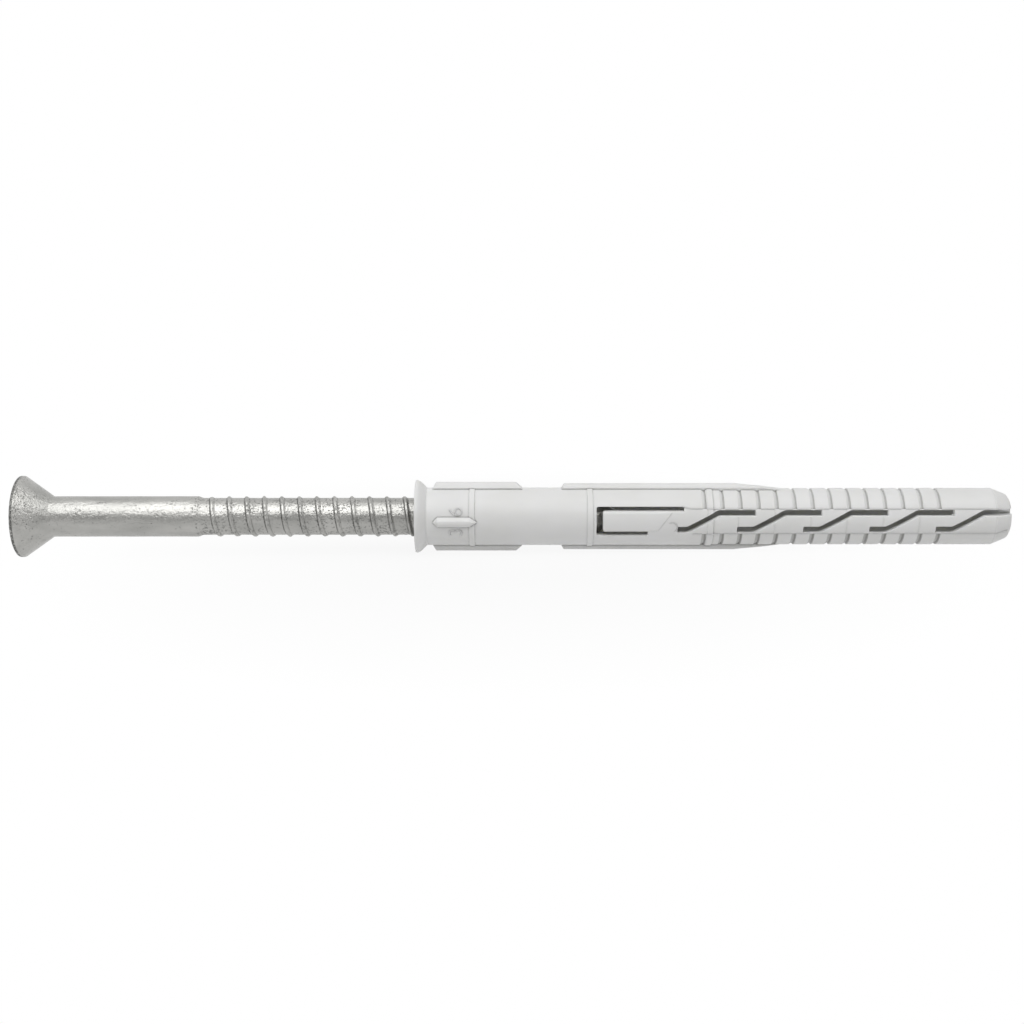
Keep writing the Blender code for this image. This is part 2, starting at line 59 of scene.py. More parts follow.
# Screw: head, shank and thread, as in the solid
HEAD_RADIUS = 6.88 * MM
HEAD_HALF_ANGLE = math.radians(35.2)
HEAD_LAND = 0.62 * MM
HEAD_EDGE = 0.12 * MM
SHANK_RADIUS = 3.40 * MM
SHANK_END = 30.05 * MM
SHANK_TAPER = 1.0 * MM
DRIVE_MEAN_RADIUS = 2.88 * MM
DRIVE_LOBE = 0.45 * MM
DRIVE_LOBES = 6
DRIVE_DEPTH = 3.3 * MM
DRIVE_POINT_DEPTH = 0.9 * MM
DRIVE_POINT_RADIUS = 0.864 * MM
CORE_RADIUS = 3.10 * MM
THREAD_HEIGHT = 0.29 * MM
THREAD_PITCH = 2.97 * MM
FIRST_CREST = 2.37 * MM
THREAD_RUN_IN = 2.0 * MM
POINT_LENGTH = 5.0 * MM
POINT_FLAT = 0.45 * MM
POINT_BEVEL = 0.3 * MM
POINT_BEVEL_DROP = 0.16 * MM
POINT_MARGIN = 0.7 * MM
SEAT_CLEARANCE = 0.12 * MM

# The thread's rounded section over one pitch: millimetres along the axis, and shares of the height
THREAD_PROFILE = (
    (-1.25, 0.03), (-0.85, 0.0), (-0.52, 0.0), (-0.43, 0.03), (-0.36, 0.14),
    (-0.29, 0.45), (-0.21, 0.82), (-0.11, 0.98), (0.02, 1.0), (0.14, 0.88),
    (0.24, 0.58), (0.34, 0.26), (0.44, 0.09), (0.58, 0.02), (1.15, 0.0),
)

# Sleeve: tube, collar and rings, as in the solid
SLEEVE_LENGTH = 100.0 * MM
BORE_RADIUS = 3.60 * MM
WALL = 1.26 * MM
GRIP_STEP = 0.10 * MM
TIP_CHAMFER = 2.85 * MM
TIP_CHAMFER_DROP = 1.04 * MM
TIP_EDGE = 0.35 * MM
TIP_EDGE_DROP = 0.70 * MM
TIP_BORE_TAPER = 5.0 * MM
TIP_BORE_RADIUS = 1.3 * MM
COLLAR_OVERHANG = 1.28 * MM
COLLAR_LAND = 0.60 * MM
COLLAR_EDGE = 0.15 * MM
COLLAR_LIP = 0.54 * MM
RING_STARTS = (9.04 * MM, 28.8 * MM, 48.8 * MM)
RING_WIDTH = 1.0 * MM
RING_HEIGHT = 0.16 * MM
RING_SLOPE = 0.10 * MM

# Sleeve: ribs
RIB_WIDTH = 1.9 * MM
RIB_ROOT = 0.55 * MM
RIB_SHOULDER = 0.20 * MM
RIB_SIDE_SLOPE = math.radians(36.0)
RIB_EDGE = 0.10 * MM
SHORT_RIB_EDGE = 0.08 * MM
GUIDE_RIB_START = 2.9 * MM
GUIDE_RIB_RISE = 0.5 * MM
GUIDE_RIB_LENGTH = 15.0 * MM
GUIDE_RIB_FALL = 1.0 * MM
GUIDE_RIB_HEIGHT = 1.02 * MM
KEY_RIB_START = 24.6 * MM
KEY_RIB_RISE = 0.4 * MM
KEY_RIB_LENGTH = 29.3 * MM
KEY_RIB_FALL = 6.8 * MM
KEY_RIB_HEIGHT_FRONT = 0.74 * MM
KEY_RIB_HEIGHT_BACK = 0.77 * MM
SHORT_RIB_WIDTH = 1.6 * MM
SHORT_RIB_START = 3.06 * MM
SHORT_RIB_POINT = 0.75 * MM
SHORT_RIB_LENGTH = 5.4 * MM
SHORT_RIB_TAIL = 1.2 * MM
SHORT_RIB_SHOULDER = 0.35 * MM
SHORT_RIB_HEIGHT = 0.84 * MM
SHORT_RIB_RIDGE = 0.5 * MM

# Sleeve: tongue, zigzag slots and grip grooves
TONGUE_SLOT_START = 30.5 * MM
TONGUE_SLOT_END_WIDTH = 0.90 * MM
TONGUE_SLOT_HALF_ANGLE = math.radians(30.3)
TONGUE_HALF_ANGLE = math.radians(20.3)
TONGUE_SHORT_LEG = 8.4 * MM
TONGUE_LONG_LEG = 14.4 * MM
TONGUE_CORNER = 0.35 * MM
LEG_CORNER = 0.12 * MM
TONGUE_PAD_HEIGHT = 0.09 * MM
TONGUE_PAD_ROUND = 0.42 * MM
TONGUE_PAD_END = 9.87 * MM
TONGUE_PAD_SLANT = 2.6 * MM
TONGUE_PAD_SINK = 0.02 * MM
TONGUE_PAD_SLOPE = 0.05 * MM
ZIGZAG_HALF_ANGLE = math.radians(17.5)
ZIGZAG_WIDTH = 0.95 * MM
ZIGZAG_PITCH = 11.0 * MM
ZIGZAG_LAST_START = 13.3 * MM
ZIGZAG_LOW_LEG = 2.8 * MM
ZIGZAG_DIAGONAL = 5.2 * MM
ZIGZAG_LENGTH = 14.1 * MM
ZIGZAG_ZONE_START = 43.8 * MM
ZIGZAG_SHORTEST_LEG = 1.0 * MM
ZIGZAG_END_CORNER = 0.20 * MM
ZIGZAG_OUTER_BEND = 1.6 * MM
ZIGZAG_INNER_BEND = 0.5 * MM
ZIGZAG_STAGGER = 1.5 * MM
GROOVE_PITCH = 3.0 * MM
GROOVE_LAST_EDGE = 12.34 * MM
GROOVE_COUNT = 14
GROOVE_WIDTH = 0.80 * MM
GROOVE_DEPTH = 0.37 * MM
GROOVE_STEEP_SIDE = 0.14 * MM
BAND_HALF_ANGLE = math.radians(26.0)

# Fine forms that only the looks have
SLOT_RIM = 0.06 * MM
RIM_PROFILE = ((0.0, -1.0), (0.15, -0.5), (0.5, -0.15), (1.6, 0.35))
HIGH_LEG_DROP = 0.06 * MM
LOW_LEG_RISE = 0.12 * MM
TONGUE_GAP_EXTRA = 0.18 * MM
SLOT_INNER_REACH = 0.5 * MM
SLOT_OVERLAP = 0.5 * MM
CUTTER_MARGIN = 1.0 * MM
TIP_SLOT_LENGTH = 2.8 * MM
TIP_SLOT_INNER_REACH = 1.9 * MM
TIP_CUT_SHORT = 0.30 * MM
TIP_LINE_WIDTH = 0.22 * MM
TIP_LINE_DEPTH = 0.05 * MM
LAST_RING_HEIGHT = 0.10 * MM
SEAM_HALF_WIDTH = 0.10 * MM
SEAM_HEIGHT = 0.055 * MM
SEAM_START = 44.6 * MM
SEAM_LEAD = 1.5 * MM
SEAM_STOP = 0.4 * MM
SEAM_BEND = 0.45 * MM
SEAM_STEPS = 6
SEAM_BEND_STEPS = 8
GATE_MARK = (42.9 * MM, -0.95 * MM, 0.85 * MM, -60.0, 120.0)
GATE_HALF_WIDTH = 0.10 * MM
GATE_HEIGHT = 0.05 * MM
LINE_ROOT = 0.03 * MM
DARK_LAND = 0.42 * MM
FLAT_FACE_NORMAL = -0.9
ZINC_COAT = 0.025 * MM
COARSE_RIM = 1.3 * MM
COARSE_RIM_RADIUS = 5.8 * MM
COAT_RUN_IN = 2.0 * MM
CREST_LUMP = 0.070 * MM
CREST_LUMPS_TO_METRE = 1900.0
SKIN_LUMP = 0.012 * MM
SKIN_LUMPS_TO_METRE = 420.0
# Painted shade in the thread's crevices: its place from the crest, its reach and its depth
CREVICE_SHADE_BANDS = ((-0.36 * MM, 0.16 * MM, 1.0), (0.44 * MM, 0.14 * MM, 0.55))
INSERT_LINE_WIDTH = 0.14 * MM
INSERT_LINE_HEIGHT = 0.06 * MM
FIRST_INSERT_LINE = 2
DIGIT_ANGLES = (math.radians(-22.6), math.radians(20.2))
DIGIT_START = 7.85 * MM
DIGIT_TALL = 1.37 * MM
DIGIT_WIDE = 1.50 * MM
DIGIT_HALF_WIDTH = 0.10 * MM
DIGIT_HEIGHT = 0.13 * MM
COLLAR_CURVE = (0.15 * MM, 1.05 * MM)
COLLAR_CURVE_STEPS = 6

# Studio. A lamp has a place along the fixing, elevation in degrees, distance, width, height, radiance
KEY_LAMP = (-0.06, 59.0, 0.50, 0.82, 0.52, 1.98)
TOP_LAMP = (-0.06, 112.0, 0.50, 0.50, 0.30, 1.0)
WORLD_GLOW = 0.09
FLOOR_GLOW = 0.38
FLOOR_GREY = 0.60
FLOOR_HALF_SIZE = 3.0
SHADOW_REACH = (0.02, 0.08)
LEAST_WHITE = 0.91
CARD_DISTANCE = 0.40
CARD_REACH = 0.60
CARD_HEIGHTS = (0.0, 0.22)
CARD_GREY = 0.30

# Materials
ZINC_DARK = (0.352, 0.351, 0.336, 1.0)
ZINC_PALE = (0.441, 0.437, 0.420, 1.0)
ZINC_PIT = (0.24, 0.24, 0.23, 1.0)
ZINC_CREVICE_SHADE = (0.09, 0.09, 0.085, 1.0)
# A darker colour for the head's land, with pale specks left in it
LAND_DARK_COLOUR = (0.12, 0.12, 0.115, 1.0)
ZINC_ROUGHNESS = (0.24, 0.76)
ZINC_BUMP = 0.13 * MM
# Painted shade: the darker colours laid into the nylon's creases and grooves
NYLON_CREASE_SHADE = (0.34, 0.34, 0.33, 1.0)
NYLON_GROOVE_SHADE = (0.31, 0.31, 0.295, 1.0)
NYLON_ROUGHNESS = (0.42, 0.52)
NYLON_BUMP = 0.03 * MM
# How far the occlusion reaches that paints shade into the nylon's creases
NYLON_CREASE_SHADE_REACH = 0.36 * MM
NYLON_PALE = 0.805
# Painted light: the slots' walls take a paler copy of the nylon, for light that comes through the nylon
SLOT_WALL_LIT_PALE = 0.90
# Painted highlight: the raised figures take a paler copy of the nylon, for the light on their tops
RAISED_LIT_PALE = 0.90
SLOT_WALL = 1
RAISED = 2
AO_SAMPLES = 6

# Facets
SCREW_SIDES = 96
BAND_STRIPS = 20
GRIP_STRIPS = 50
CORNER_STEPS = 4
OUTLINE_STEP = 0.3 * MM
LONGEST_ROUNDING = 0.45
DRIVE_STEPS = 144
SHANK_STEPS = 40
TAPER_STEPS = 6
PAD_STEPS = 40
SCREW_SMOOTH_ANGLE = math.radians(40.0)
SLEEVE_SMOOTH_ANGLE = math.radians(32.0)
TURNED_FACING = 0.997

# Worked out from the sizes above
BODY_RADIUS = BORE_RADIUS + WALL
GRIP_RADIUS = BODY_RADIUS - GRIP_STEP
COLLAR_RADIUS = BODY_RADIUS + COLLAR_OVERHANG
RECESS_RADIUS = COLLAR_RADIUS - COLLAR_LIP
RECESS_DEPTH = (RECESS_RADIUS - BORE_RADIUS) / math.tan(HEAD_HALF_ANGLE)
TIP_RADIUS = GRIP_RADIUS - TIP_CHAMFER_DROP
TIP_FACE_RADIUS = TIP_RADIUS - TIP_EDGE_DROP
SEATED_STANDOFF = HEAD_LAND + (HEAD_RADIUS - RECESS_RADIUS) / math.tan(HEAD_HALF_ANGLE) + SEAT_CLEARANCE
SCREW_LENGTH = SLEEVE_LENGTH + SEATED_STANDOFF - POINT_MARGIN
FIRST_GROOVE_EDGE = SLEEVE_LENGTH - GROOVE_LAST_EDGE - (GROOVE_COUNT - 1) * GROOVE_PITCH
GROOVE_EDGES = [FIRST_GROOVE_EDGE + GROOVE_PITCH * index for index in range(GROOVE_COUNT)]
LAND_LEAST_RADIUS = 0.9 * HEAD_RADIUS
ZIGZAG_HEIGHT = GRIP_RADIUS * math.sin(ZIGZAG_HALF_ANGLE)
ZIGZAG_HALF_WIDTH = 0.5 * ZIGZAG_WIDTH
ZIGZAG_TOP = ZIGZAG_HEIGHT + ZIGZAG_HALF_WIDTH
HIGH_LEG_BOTTOM = ZIGZAG_HEIGHT - ZIGZAG_HALF_WIDTH - HIGH_LEG_DROP
# The crest passes straight above the axis, a quarter turn round, at the first crest's distance
CREST_REFERENCE = SHANK_END + FIRST_CREST - 0.25 * THREAD_PITCH

# The four sides of the sleeve, each as what it does to a form that is drawn on the front
FRONT = Matrix.Identity(4)
BACK = Matrix.Scale(-1.0, 4, (0.0, 1.0, 0.0))
ABOVE = Matrix.Rotation(-0.5 * math.pi, 4, "X")
BELOW = Matrix.Rotation(0.5 * math.pi, 4, "X")

# Camera, by the photograph: where it stands along the sleeve, and how far from the axis
CAMERA_PLACE = 18.5 * MM
CAMERA_DISTANCE = 265.0 * MM
CAMERA_ELEVATION = math.radians(11.7)
CAMERA_PITCH_LIFT = math.radians(0.16)
CAMERA_YAW = math.radians(0.5)
CAMERA_ROLL = math.radians(-0.71)
CAMERA_LENS = 55.05


# Placing

def lay_on_axis():
    """Where each piece's own X axis lies: matrices for the sleeve and the screw, from the CAD boxes."""
    axis = Vector(frame["joints"][0]["axis"])
    tilt = math.asin(-axis.z)
    turn = Matrix.Rotation(tilt, 4, "Y")
    low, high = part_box("sleeve")
    collar = Vector((
        low.x + (COLLAR_RADIUS - COLLAR_EDGE) * math.sin(tilt),
        0.0,
        high.z - COLLAR_RADIUS * math.cos(tilt) + COLLAR_EDGE * math.sin(tilt),
    ))
    head_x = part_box("screw")[0].x + (HEAD_RADIUS - HEAD_EDGE) * math.sin(tilt)
    head = collar + axis * ((head_x - collar.x) / axis.x)
    return Matrix.Translation(collar) @ turn, Matrix.Translation(head) @ turn


# Mesh helpers

def add_object(name, data):
    item = bpy.data.objects.new(name, data)
    bpy.context.scene.collection.objects.link(item)
    return item


def make_object(name, bm, *materials):
    bmesh.ops.recalc_face_normals(bm, faces=bm.faces)
    mesh = bpy.data.meshes.new(name)
    bm.to_mesh(mesh)
    bm.free()
    for material in materials:
        mesh.materials.append(material)
    return add_object(name, mesh)


def apply_boolean(item, bm, materials, operation):
    """Cuts a bmesh into the item or joins it on. Its faces keep their own materials."""
    tool = make_object("tool", bm, *materials)
    step = item.modifiers.new(operation.lower(), "BOOLEAN")
    step.operation = operation
    step.object = tool
    step.solver = "EXACT"
    step.material_mode = "TRANSFER"
    evaluated = item.evaluated_get(bpy.context.evaluated_depsgraph_get())
    item.data = bpy.data.meshes.new_from_object(evaluated)
    item.modifiers.remove(step)
    bpy.data.objects.remove(tool, do_unlink=True)


def merge_into(item, bm):
    """Adds the loose shells of a bmesh to an object's mesh. Their faces keep their material slots."""
    bmesh.ops.recalc_face_normals(bm, faces=bm.faces)
    bm.from_mesh(item.data)
    bm.to_mesh(item.data)
    bm.free()


def shade_turned(item, smooth_angle):
    """Smooth shading with sharp edges, and exact round normals on all that is turned about the axis."""
    mesh = item.data
    mesh.shade_smooth()
    mesh.set_sharp_from_angle(angle=smooth_angle)
    normals = [normal.vector.copy() for normal in mesh.corner_normals]
    for polygon in mesh.polygons:
        outward = Vector((0.0, polygon.center.y, polygon.center.z)).normalized()
        facing = polygon.normal.dot(outward)
        if abs(facing) > TURNED_FACING:
            for corner in polygon.loop_indices:
                place = mesh.vertices[mesh.loops[corner].vertex_index].co
                radial = Vector((0.0, place.y, place.z)).normalized()
                normals[corner] = radial if facing > 0.0 else -radial
    mesh.normals_split_custom_set(normals)


def rounded(corners):
    """The closed outline through corners of two places and a radius, each one rounded. Its points keep
    the mark that a corner may have."""
    outline = []
    count = len(corners)
    for index, (x, z, radius, *mark) in enumerate(corners):
        if radius == 0.0:
            outline.append((x, z, *mark))
            continue
        before = corners[index - 1][:2]
        after = corners[(index + 1) % count][:2]
        to_before = math.dist((x, z), before)
        to_after = math.dist((x, z), after)
        u = ((before[0] - x) / to_before, (before[1] - z) / to_before)
        v = ((after[0] - x) / to_after, (after[1] - z) / to_after)
        half = 0.5 * math.acos(max(-1.0, min(1.0, u[0] * v[0] + u[1] * v[1])))
        reach = min(radius / math.tan(half), LONGEST_ROUNDING * min(to_before, to_after))
        arc = reach * math.tan(half)
        inward = (u[0] + v[0], u[1] + v[1])
        to_centre = arc / math.sin(half) / math.hypot(*inward)
        centre = (x + inward[0] * to_centre, z + inward[1] * to_centre)
        start = math.atan2(z + u[1] * reach - centre[1], x + u[0] * reach - centre[0])
        end = math.atan2(z + v[1] * reach - centre[1], x + v[0] * reach - centre[0])
        turn = (end - start + math.pi) % (2.0 * math.pi) - math.pi
        for step in range(CORNER_STEPS + 1):
            angle = start + turn * step / CORNER_STEPS
            outline.append((centre[0] + arc * math.cos(angle), centre[1] + arc * math.sin(angle), *mark))
    return outline


def join_loops(bm, loops, caps=(0, -1)):
    """Faces from each closed loop of vertices to the next, and over the loops that are capped."""
    for lower, upper in zip(loops, loops[1:]):
        for index in range(len(lower)):
            after = (index + 1) % len(lower)
            bm.faces.new((lower[index], lower[after], upper[after], upper[index]))
    for cap in caps:
        bm.faces.new(loops[cap])


def loft(bm, sections):
    """A closed solid through sections of equal point count, capped at both ends."""
    join_loops(bm, [[bm.verts.new(point) for point in section] for section in sections])


# Screw

def screw_core(x):
    """The screw's radius without its thread, at a distance from the face of the head."""
    taper = min(max((x - SHANK_END) / SHANK_TAPER, 0.0), 1.0)
    return SHANK_RADIUS + (CORE_RADIUS - SHANK_RADIUS) * taper * taper * (3.0 - 2.0 * taper)


def head_profile():
    """The head's turned outline from its face to the shank, with rounded edges."""
    cone_end = HEAD_LAND + (HEAD_RADIUS - SHANK_RADIUS) / math.tan(HEAD_HALF_ANGLE)
    corners = [
        (0.0, 0.0, 0.0),
        (0.0, HEAD_RADIUS, 0.16 * MM),
        (DARK_LAND, HEAD_RADIUS, 0.0),
        (HEAD_LAND, HEAD_RADIUS, 0.10 * MM),
        (cone_end, SHANK_RADIUS, 0.7 * MM),
        (SHANK_END, SHANK_RADIUS, 0.0),
        (SHANK_END, 0.0, 0.0),
    ]
    return rounded(corners)[1:-1]


def screw_blank():
    """Head, shank, thread and point as one closed skin of rings, with helical rows between them."""
    start = SHANK_END + SHANK_TAPER
    end = SCREW_LENGTH - POINT_LENGTH
    front = head_profile()
    shank_from = front[-2][0]
    front[-1:] = [
        (shank_from + (SHANK_END - shank_from) * step / SHANK_STEPS, SHANK_RADIUS)
        for step in range(1, SHANK_STEPS + 1)
    ]
    tapered = [SHANK_END + SHANK_TAPER * step / TAPER_STEPS for step in range(1, TAPER_STEPS + 1)]
    front += [(x, screw_core(x)) for x in tapered]
    point = [
        (end, CORE_RADIUS),
        (SCREW_LENGTH - POINT_BEVEL, POINT_FLAT + POINT_BEVEL_DROP),
        (SCREW_LENGTH, POINT_FLAT),
    ]

    bm = bmesh.new()

    def spot(x, radius, column):
        angle = 2.0 * math.pi * column / SCREW_SIDES
        return bm.verts.new((x, radius * math.cos(angle), radius * math.sin(angle)))

    def rings(profile):
        return [[spot(x, radius, column) for column in range(SCREW_SIDES)] for x, radius in profile]

    front_rings = rings(front)
    point_rings = rings(point)
    join_loops(bm, front_rings, [0])
    join_loops(bm, point_rings, [-1])

    rows = len(THREAD_PROFILE)
    snap = 0.03 * MM
    first_turn = math.floor((start - CREST_REFERENCE) / THREAD_PITCH) - 2
    last_turn = math.ceil((end - CREST_REFERENCE) / THREAD_PITCH) + 2
    made = {}

    def helix_vert(row, column):
        turn, place = divmod(row, rows)
        if column == SCREW_SIDES:
            turn, column = turn + 1, 0
        key = (turn, place, column)
        if key not in made:
            along, share = THREAD_PROFILE[place]
            x = CREST_REFERENCE + THREAD_PITCH * (turn + column / SCREW_SIDES) + along * MM
            if x < start + snap:
                made[key] = front_rings[-1][column]
            elif x > end - snap:
                made[key] = point_rings[0][column]
            else:
                fade = min((x - start) / THREAD_RUN_IN, (end - x) / THREAD_RUN_IN, 1.0)
                made[key] = spot(x, CORE_RADIUS + THREAD_HEIGHT * share * fade, column)
        return made[key]

    for row in range(first_turn * rows, last_turn * rows):
        for column in range(SCREW_SIDES):
            corners = [
                helix_vert(row, column),
                helix_vert(row, column + 1),
                helix_vert(row + 1, column + 1),
                helix_vert(row + 1, column),
            ]
            corners = [vert for index, vert in enumerate(corners) if vert is not corners[index - 1]]
            if len(corners) > 2:
                bm.faces.new(corners)
    return bm


def drive_recess():
    """The six-lobe socket in the head, with a rounded mouth and a cone at its bottom."""
    outline = []
    for step in range(DRIVE_STEPS):
        angle = 2.0 * math.pi * step / DRIVE_STEPS
        reach = DRIVE_MEAN_RADIUS + DRIVE_LOBE * math.cos(DRIVE_LOBES * angle)
        outline.append((reach * math.cos(angle), reach * math.sin(angle)))
    stages = (
        (-0.5 * MM, 1.12),
        (-0.05 * MM, 1.045),
        (0.06 * MM, 1.015),
        (0.20 * MM, 1.0),
        (DRIVE_DEPTH, 1.0),
        (DRIVE_DEPTH + DRIVE_POINT_DEPTH, DRIVE_POINT_RADIUS / DRIVE_MEAN_RADIUS),
    )
    bm = bmesh.new()
    loft(bm, [[(x, y * share, z * share) for y, z in outline] for x, share in stages])
    return bm


def from_crest(x, y, z):
    """How far a place lies along the axis from the thread's crest at the same angle."""
    turn = math.atan2(z, y) / (2.0 * math.pi)
    past = x - CREST_REFERENCE - THREAD_PITCH * turn
    return (past + 0.5 * THREAD_PITCH) % THREAD_PITCH - 0.5 * THREAD_PITCH


def mark_land(mesh):
    """Marks the head's dark land for the material, but not its flat face."""
    land = mesh.attributes.new("land", "FLOAT", "CORNER")
    for polygon in mesh.polygons:
        if polygon.normal.x < FLAT_FACE_NORMAL:
            continue
        for corner in polygon.loop_indices:
            x, y, z = mesh.vertices[mesh.loops[corner].vertex_index].co
            if x < DARK_LAND + TOLERANCE and math.hypot(y, z) > LAND_LEAST_RADIUS:
                land.data[corner].value = 1.0


def roughen_screw(mesh):
    """Uneven zinc: lumps on the thread's crests and fine waves elsewhere. Marks on the mesh tell the
    material where the coarser zinc is, and where shade is painted into the thread's crevices."""
    coarse = mesh.attributes.new("coarse", "FLOAT", "POINT")
    crevice_shade = mesh.attributes.new("crevice_shade", "FLOAT", "POINT")
    for vert in mesh.vertices:
        x, y, z = vert.co
        radius = math.hypot(y, z)
        if x > SHANK_END or (x < COARSE_RIM and radius > COARSE_RIM_RADIUS and z > 0.0):
            coarse.data[vert.index].value = 1.0
        if radius < POINT_FLAT or x < HEAD_LAND:
            continue
        crest = 0.0
        if x > SHANK_END + SHANK_TAPER:
            crest = min(max((radius - CORE_RADIUS) / THREAD_HEIGHT, 0.0), 1.0)
            past = from_crest(x, y, z)
            crevice_shade.data[vert.index].value = max(
                depth * max(1.0 - abs(past - place) / reach, 0.0) for place, reach, depth in CREVICE_SHADE_BANDS
            )
        lump = noise.fractal(vert.co * CREST_LUMPS_TO_METRE, 1.0, 2.0, 3)
        wave = noise.noise(vert.co * SKIN_LUMPS_TO_METRE)
        coat = ZINC_COAT * min((x - HEAD_LAND) / COAT_RUN_IN, 1.0)
        shift = coat + CREST_LUMP * crest * lump + SKIN_LUMP * wave * coat / ZINC_COAT
        scale = (radius + shift) / radius
        vert.co = (x, y * scale, z * scale)


def make_screw(material):
    screw = make_object("screw_skin", screw_blank(), material)
    apply_boolean(screw, drive_recess(), [material], "DIFFERENCE")
    mark_land(screw.data)
    roughen_screw(screw.data)
    screw.data.shade_smooth()
    screw.data.set_sharp_from_angle(angle=SCREW_SMOOTH_ANGLE)
    return screw


# Sleeve: tube

def tube_radius(x):
    """The tube is a little thinner past its last ring."""
    return BODY_RADIUS if x <= RING_STARTS[-1] else GRIP_RADIUS


def skin_radius(x):
    """The radius of the sleeve's outer skin, with its last ring and the chamfer at its tip."""
    if RING_STARTS[-1] < x < RING_STARTS[-1] + RING_WIDTH:
        return BODY_RADIUS + LAST_RING_HEIGHT
    past = min(max(x - (SLEEVE_LENGTH - TIP_EDGE - TIP_CHAMFER), 0.0), TIP_CHAMFER)
    edge = min(max(x - (SLEEVE_LENGTH - TIP_EDGE), 0.0), TIP_EDGE)
    return tube_radius(x) - TIP_CHAMFER_DROP * past / TIP_CHAMFER - TIP_EDGE_DROP * edge / TIP_EDGE


def collar_curve():
    """The collar's land runs over into its cone in one soft curve."""
    start, end = COLLAR_CURVE
    places = []
    for step in range(COLLAR_CURVE_STEPS + 1):
        share = step / COLLAR_CURVE_STEPS
        on_land = (1.0 - share) * start + share * COLLAR_LAND
        on_cone = (1.0 - share) * COLLAR_LAND + share * end
        x = (1.0 - share) * on_land + share * on_cone
        drop = share * share * (end - COLLAR_LAND)
        places.append((x, COLLAR_RADIUS - drop, 0.0))
    return places


def sleeve_section():
    """The sleeve's wall as a closed, rounded loop of distances and radii, with the groove of each."""
    chamfer = SLEEVE_LENGTH - TIP_EDGE - TIP_CHAMFER
    tip = SLEEVE_LENGTH - TIP_CUT_SHORT
    corners = [
        (0.0, COLLAR_RADIUS - 0.02 * MM, 0.16 * MM),
        *collar_curve(),
        (COLLAR_LAND + COLLAR_OVERHANG, BODY_RADIUS, 0.16 * MM),
    ]
    outside = []
    for start in RING_STARTS:
        top = BODY_RADIUS + (LAST_RING_HEIGHT if start == RING_STARTS[-1] else RING_HEIGHT)
        outside += [
            (start, tube_radius(start), 0.05 * MM),
            (start + RING_SLOPE, top, 0.09 * MM),
            (start + RING_WIDTH - RING_SLOPE, top, 0.09 * MM),
            (start + RING_WIDTH, tube_radius(start + RING_WIDTH), 0.05 * MM),
        ]
    for index, edge in enumerate(GROOVE_EDGES):
        radius = tube_radius(edge)
        outside += [
            (edge - GROOVE_WIDTH, radius, 0.10 * MM, index),
            (edge - GROOVE_STEEP_SIDE, radius - GROOVE_DEPTH, 0.08 * MM, index),
            (edge, radius, 0.07 * MM, index),
        ]
    corners += sorted(outside, key=lambda corner: corner[0])
    corners += [
        (chamfer - TIP_LINE_WIDTH, GRIP_RADIUS, 0.03 * MM),
        (chamfer - 0.4 * TIP_LINE_WIDTH, GRIP_RADIUS - TIP_LINE_DEPTH, 0.03 * MM),
        (chamfer, GRIP_RADIUS, 0.10 * MM),
        (tip - TIP_EDGE, TIP_RADIUS, 0.8 * MM),
        (tip, TIP_FACE_RADIUS, 0.5 * MM),
        (tip, TIP_BORE_RADIUS, 0.10 * MM),
        (SLEEVE_LENGTH - TIP_BORE_TAPER, BORE_RADIUS, 0.0),
        (RECESS_DEPTH, BORE_RADIUS, 0.15 * MM),
        (0.0, RECESS_RADIUS, 0.08 * MM),
    ]
    return rounded(corners)


def strip_layout():
    """The angle of each edge round the sleeve, and for the strip after it, whether it is grooved."""
    span = math.pi - 2.0 * BAND_HALF_ANGLE
    angles = []
    for middle in (0.0, math.pi):
        for step in range(BAND_STRIPS):
            angles.append(middle - BAND_HALF_ANGLE + 2.0 * BAND_HALF_ANGLE * step / BAND_STRIPS)
        for step in range(GRIP_STRIPS):
            angles.append(middle + BAND_HALF_ANGLE + span * step / GRIP_STRIPS)
    return angles, 2 * ([False] * BAND_STRIPS + [True] * GRIP_STRIPS)


def insert_line(start, mark):
    """The faint ridge of a joint between mould inserts, across the bands at every other groove."""
    if mark < FIRST_INSERT_LINE or (mark - FIRST_INSERT_LINE) % 2:
        return []
    x, radius = start
    middle = x + 0.5 * INSERT_LINE_WIDTH
    return [(middle, radius + INSERT_LINE_HEIGHT), (x + INSERT_LINE_WIDTH, radius)]


def sleeve_tube():
    """The collar, tube and tip, turned strip by strip, so that the grooves stop at the bands."""
    angles, grooved = strip_layout()
    full = sleeve_section()
    grooves = {}
    for x, radius, *mark in full:
        if mark:
            grooves.setdefault(mark[0], []).append((x, radius))
    bridges = {
        mark: [places[0], *insert_line(places[0], mark), places[-1]] for mark, places in grooves.items()
    }
    plain = []
    for x, radius, *mark in full:
        if not mark:
            plain.append((x, radius))
        elif (x, radius) == grooves[mark[0]][0]:
            plain += bridges[mark[0]]
    sections = {True: [place[:2] for place in full], False: plain}
    count = len(angles)
    bm = bmesh.new()
    made = {}

    def spot(place, column):
        key = (place, column % count)
        if key not in made:
            x, radius = place
            angle = angles[column % count]
            made[key] = bm.verts.new((x, radius * math.cos(angle), radius * math.sin(angle)))
        return made[key]

    for column in range(count):
        section = sections[grooved[column]]
        for place, after in zip(section, section[1:] + section[:1]):
            near = (spot(place, column), spot(after, column))
            far = (spot(after, column + 1), spot(place, column + 1))
            bm.faces.new(near + far)
        if grooved[column] != grooved[column - 1]:
            for mark, places in grooves.items():
                bridge = bridges[mark][-2:0:-1]
                bm.faces.new([spot(place, column) for place in [*places, *bridge]])
    return bm


# Sleeve: ribs and tongue

def soften(part, least_radius, offset, segments):
    """Rounds the edges of a rib that lie above a radius."""
    top = [edge for edge in part.edges if min(-vert.co.y for vert in edge.verts) > least_radius]
    bmesh.ops.bevel(
        part, geom=top, offset=offset, offset_type="OFFSET", segments=segments, profile=0.5, affect="EDGES",
    )


